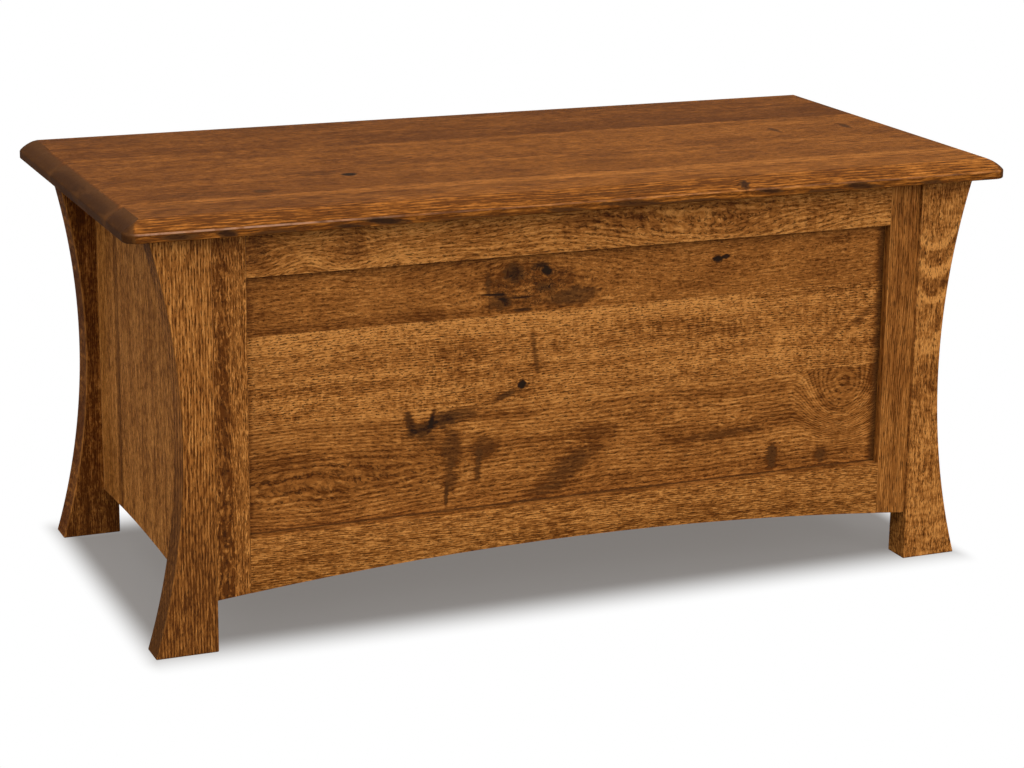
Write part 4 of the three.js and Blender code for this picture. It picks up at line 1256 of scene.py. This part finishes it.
def countersunk_screw_tree():
    """A countersunk head with a cross recess on every point, turned the way the point faces."""
    tree = new_group(
        "Countersunk Screws", "GeometryNodeTree", SCREW_INPUTS, (("Screws", GEOMETRY, None),))
    net = Wiring(tree)
    given = net.add("NodeGroupInput").outputs
    head = net.add("GeometryNodeMeshCone", {
        "Vertices": HEAD_SIDES, "Radius Top": given["Head Radius"],
        "Radius Bottom": net.times(given["Head Radius"], HEAD_TAPER),
        "Depth": given["Head Depth"]}).outputs["Mesh"]
    sunk = net.made("GeometryNodeTransform", {
        "Geometry": head,
        "Translation": net.together(0.0, 0.0, net.times(given["Head Depth"], -1.0))})
    narrow = net.times(given["Recess"], RECESS_WIDTH)
    deep = net.times(given["Head Depth"], RECESS_DEPTH)
    cut = net.add("GeometryNodeMeshBoolean", {"Mesh 1": sunk}, operation="DIFFERENCE")
    for size in ((given["Recess"], narrow, deep), (narrow, given["Recess"], deep)):
        bar = net.add("GeometryNodeMeshCube", {"Size": net.together(*size)}).outputs["Mesh"]
        net.tree.links.new(bar, cut.inputs["Mesh 2"])
    facing = net.made(
        "GeometryNodeInputNamedAttribute", {"Name": "facing"}, data_type="FLOAT_VECTOR")
    aimed = net.made("FunctionNodeAlignRotationToVector", {"Vector": facing}, axis="Z")
    spin = net.add(
        "FunctionNodeRandomValue", {2: 0.0, 3: math.pi, "Seed": given["Turn Seed"]},
        data_type="FLOAT").outputs[1]
    turned = net.made("FunctionNodeRotateRotation", {
        "Rotation": aimed, "Rotate By": net.together(0.0, 0.0, spin)}, rotation_space="LOCAL")
    heads = net.made("GeometryNodeInstanceOnPoints", {
        "Points": given["Places"], "Instance": cut.outputs["Mesh"], "Rotation": turned})
    end_tree(net, heads, given["Material"], "Screws")
    return tree


def screw_places():
    """Where the screws' heads show, as rows of (place, facing), for each body and finish."""
    places = {}

    def add(body, slot, place, facing):
        places.setdefault((body, slot), []).append((Vector(place), Vector(facing)))

    for side, sign in (("right", 1.0), ("left", -1.0)):
        low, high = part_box(f"{side}_hinge_lid_leaf")
        lid_face = high.z - LEAF
        case_face = lid_face - LEAF_SPACE
        pitch = (high.x - low.x) / HINGE_SCREWS
        for number in range(HINGE_SCREWS):
            x = low.x + (number + 0.5) * pitch
            y = low.y + SCREW_INSET
            add("case", "hinge_brass", (x, y, case_face - SUNK), (0, 0, 1))
            add("lid", "hinge_brass", (x, y, lid_face + SUNK), (0, 0, -1))
        low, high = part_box(f"{side}_stay_case_plate")
        wall = high.x if sign > 0 else low.x
        x = wall - sign * (STAY_PLATE - SUNK)
        for z in (low.z + SCREW_INSET, high.z - SCREW_INSET):
            add("case", "pin_steel", (x, (low.y + high.y) / 2, z), (-sign, 0, 0))
        low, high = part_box(f"{side}_stay_lid_bracket")
        x = (low.x if sign > 0 else high.x) + sign * BRACKET_SCREW
        for y in (low.y + SCREW_INSET, high.y - SCREW_INSET):
            add("lid", "pin_steel", (x, y, high.z - STAY_PLATE + SUNK), (0, 0, -1))
        low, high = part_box(f"{side}_lid_batten")
        for share_along in BATTEN_SCREWS:
            y = low.y + share_along * (high.y - low.y)
            add("lid", "pin_steel", ((low.x + high.x) / 2, y, low.z), (0, 0, -1))
    return places


class DriveScrews(bpy.types.Operator):
    """Drives the screws of the hinges, stays and battens, one mesh for each body and metal"""
    bl_idname = "blanket_chest.drive_screws"
    bl_label = "Drive Screws"
    bl_options = {"REGISTER", "UNDO"}

    def execute(self, context):
        hardware = context.scene.blanket_chest.hardware
        tree = countersunk_screw_tree()
        for (body, slot), rows in screw_places().items():
            name = f"{body}_{'brass' if slot == 'hinge_brass' else 'zinc'}_screws"
            points = bpy.data.meshes.new(name)
            points.from_pydata([place for place, _ in rows], [], [])
            facing = points.attributes.new("facing", "FLOAT_VECTOR", "POINT")
            facing.data.foreach_set("vector", [part for _, way in rows for part in way])
            piece = grown(name, tree, {
                "Head Radius": hardware.head_radius, "Head Depth": hardware.head_depth,
                "Recess": hardware.recess, "Turn Seed": hardware.turn_seed,
                "Material": metal(slot)}, points)
            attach(piece, body)
        return {"FINISHED"}


# Stage

def seen_directly(net):
    """1 for what the camera sees directly or through something clear, and 0 for other light."""
    light_path = net.add("ShaderNodeLightPath").outputs
    return net.math("MAXIMUM", light_path["Is Camera Ray"], light_path["Is Transmission Ray"])


def floor_material(stage):
    """Pale floor with a painted shadow between and near the chest's feet, and white beyond."""
    material, net = blank_material("Studio Floor")
    place = net.add("ShaderNodeTexCoord").outputs["Object"]
    low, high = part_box("front_left_leg")[0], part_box("back_right_leg")[1]
    middle, half = (low + high) / 2, (high - low) / 2
    off_centre = net.vector(
        "ABSOLUTE", net.vector("SUBTRACT", place, (middle.x, middle.y, 0.0)))
    beyond = net.vector(
        "MULTIPLY", net.vector("SUBTRACT", off_centre, (half.x, half.y, 0.0)),
        (PAINTED_SHADOW_SQUEEZE, 1.0, 0.0))
    x, y, _ = net.apart(beyond)
    outside = net.magnitude(net.vector("MAXIMUM", beyond, (0.0, 0.0, 0.0)))
    inside = net.math("MINIMUM", net.math("MAXIMUM", x, y), 0.0)
    away = net.sum(outside, inside)
    seen = seen_directly(net)
    speck = net.noise(net.scaled(place, 1 / MILLIMETRE), PATTERNS["floor"])
    # Near the feet the camera sees the painted shadow: a grey glow over a dark floor, on which the
    # real shadow shows only faintly
    grey = (stage.floor_grey,) * 3
    tone = net.blend(
        net.straight_span(speck, *SPANS["floor"]), rgba(grey),
        rgba([part * SPECK for part in grey]))
    matt = net.made("ShaderNodeBsdfDiffuse", {"Color": tone})
    painted_shadow_glow = net.made("ShaderNodeEmission", {
        "Color": rgba(PAINTED_SHADOW_TINT), "Strength": net.times(seen, stage.painted_shadow_grey)})
    near = net.made("ShaderNodeAddShader", {0: matt, 1: painted_shadow_glow})
    white = net.made("ShaderNodeEmission", {"Strength": 1.0})
    far_off = net.times(seen, net.span(away, -stage.painted_shadow_reach, stage.painted_shadow_reach))
    shader = net.made("ShaderNodeMixShader", {0: far_off, 1: near, 2: white})
    net.add("ShaderNodeOutputMaterial", {"Surface": shader})
    return material


def studio_world(stage):
    """Even light that fades from the ceiling to the walls, and white where it is looked at."""
    world = bpy.data.worlds.new("Studio")
    world.use_nodes = True
    world.node_tree.nodes.clear()
    net = Wiring(world.node_tree)
    seen = seen_directly(net)
    _, _, up = net.apart(net.add("ShaderNodeTexCoord").outputs["Generated"])
    soft = net.made("ShaderNodeBackground", {
        "Strength": net.span(up, *SPANS["sky"], stage.horizon, stage.zenith)})
    white = net.made("ShaderNodeBackground", {"Color": rgba(WHITE), "Strength": 1.0})
    shader = net.made("ShaderNodeMixShader", {0: seen, 1: soft, 2: white})
    net.add("ShaderNodeOutputWorld", {"Surface": shader})
    return world


def studio_sun(name, power, breadth, azimuth, elevation, glossy):
    """A broad, even light. Its angles are in degrees."""
    lamp = bpy.data.lights.new(name, "SUN")
    lamp.energy = power
    lamp.angle = math.radians(breadth)
    light = bpy.data.objects.new(name, lamp)
    bpy.context.scene.collection.objects.link(light)
    a, e = math.radians(azimuth), math.radians(elevation)
    toward = Vector((math.sin(a) * math.cos(e), -math.cos(a) * math.cos(e), math.sin(e)))
    light.rotation_euler = toward.to_track_quat("Z", "Y").to_euler()
    light.visible_glossy = glossy


def aimed_camera(stage):
    forward = Vector((
        math.sin(stage.yaw) * math.cos(stage.pitch), math.cos(stage.yaw) * math.cos(stage.pitch),
        -math.sin(stage.pitch)))
    level = Vector((math.cos(stage.yaw), -math.sin(stage.yaw), 0.0))
    above = level.cross(forward)
    right = level * math.cos(stage.roll) + above * math.sin(stage.roll)
    up = above * math.cos(stage.roll) - level * math.sin(stage.roll)
    lens = bpy.data.cameras.new("Camera")
    lens.sensor_width = SENSOR_WIDTH
    lens.lens = stage.focal_length
    lens.clip_end = SEEN_TO
    camera = bpy.data.objects.new("Camera", lens)
    bpy.context.scene.collection.objects.link(camera)
    pose = Matrix((right, up, -forward)).transposed().to_4x4()
    pose.translation = Vector(stage.camera_place)
    camera.matrix_world = pose
    return camera


class SetStage(bpy.types.Operator):
    """Lays the pale floor, sets the soft lights and stands the camera where the photo's stood"""
    bl_idname = "blanket_chest.set_stage"
    bl_label = "Set Stage"
    bl_options = {"REGISTER", "UNDO"}

    def execute(self, context):
        stage = context.scene.blanket_chest.stage
        corners = [
            (x * FLOOR_REACH, y * FLOOR_REACH, 0)
            for x, y in ((-1, -1), (1, -1), (1, 1), (-1, 1))]
        mesh = bpy.data.meshes.new("studio_floor")
        mesh.from_pydata(corners, [], [(0, 1, 2, 3)])
        mesh.materials.append(floor_material(stage))
        floor = new_piece("studio_floor", mesh)
        context.scene.world = studio_world(stage)
        for name, setting, *rest in SUNS:
            studio_sun(name, getattr(stage, setting), *rest)
        context.scene.camera = aimed_camera(stage)
        context.scene.view_settings.view_transform = "Standard"
        return {"FINISHED"}


STEPS = (
    ShapeLegs, FitFrames, FinishPanels, FinishSides, FinishBottom, ShapeLid, FitHinges, FitStays,
    DriveScrews, SetStage,
)


class BlanketChestPanel(bpy.types.Panel):
    """Lists the steps that dress the chest, and its settings"""
    bl_idname = "VIEW3D_PT_blanket_chest"
    bl_label = "Blanket Chest"
    bl_space_type = "VIEW_3D"
    bl_region_type = "UI"
    bl_category = "Blanket Chest"

    def draw(self, context):
        for step in STEPS:
            self.layout.operator(step.bl_idname)
        chest = context.scene.blanket_chest
        for label, group in (
                ("Legs", chest.legs), ("Oak", chest.oak), ("Hardware", chest.hardware),
                ("Stage", chest.stage)):
            box = self.layout.box()
            box.label(text=label)
            for name in group.__annotations__:
                box.prop(group, name)


CLASSES = (
    BlanketChestLegSettings, BlanketChestOakSettings, BlanketChestHardwareSettings,
    BlanketChestStageSettings, BlanketChestSettings, *STEPS, BlanketChestPanel,
)


def register():
    for cls in CLASSES:
        bpy.utils.register_class(cls)
    bpy.types.Scene.blanket_chest = settings(
        BlanketChestSettings, "Blanket Chest", "Settings of the blanket chest")


def unregister():
    del bpy.types.Scene.blanket_chest
    for cls in reversed(CLASSES):
        bpy.utils.unregister_class(cls)


def main():
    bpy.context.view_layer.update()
    register()
    for step in STEPS:
        getattr(bpy.ops.blanket_chest, step.bl_idname.split(".")[1])()


if __name__ == "__main__":
    main()
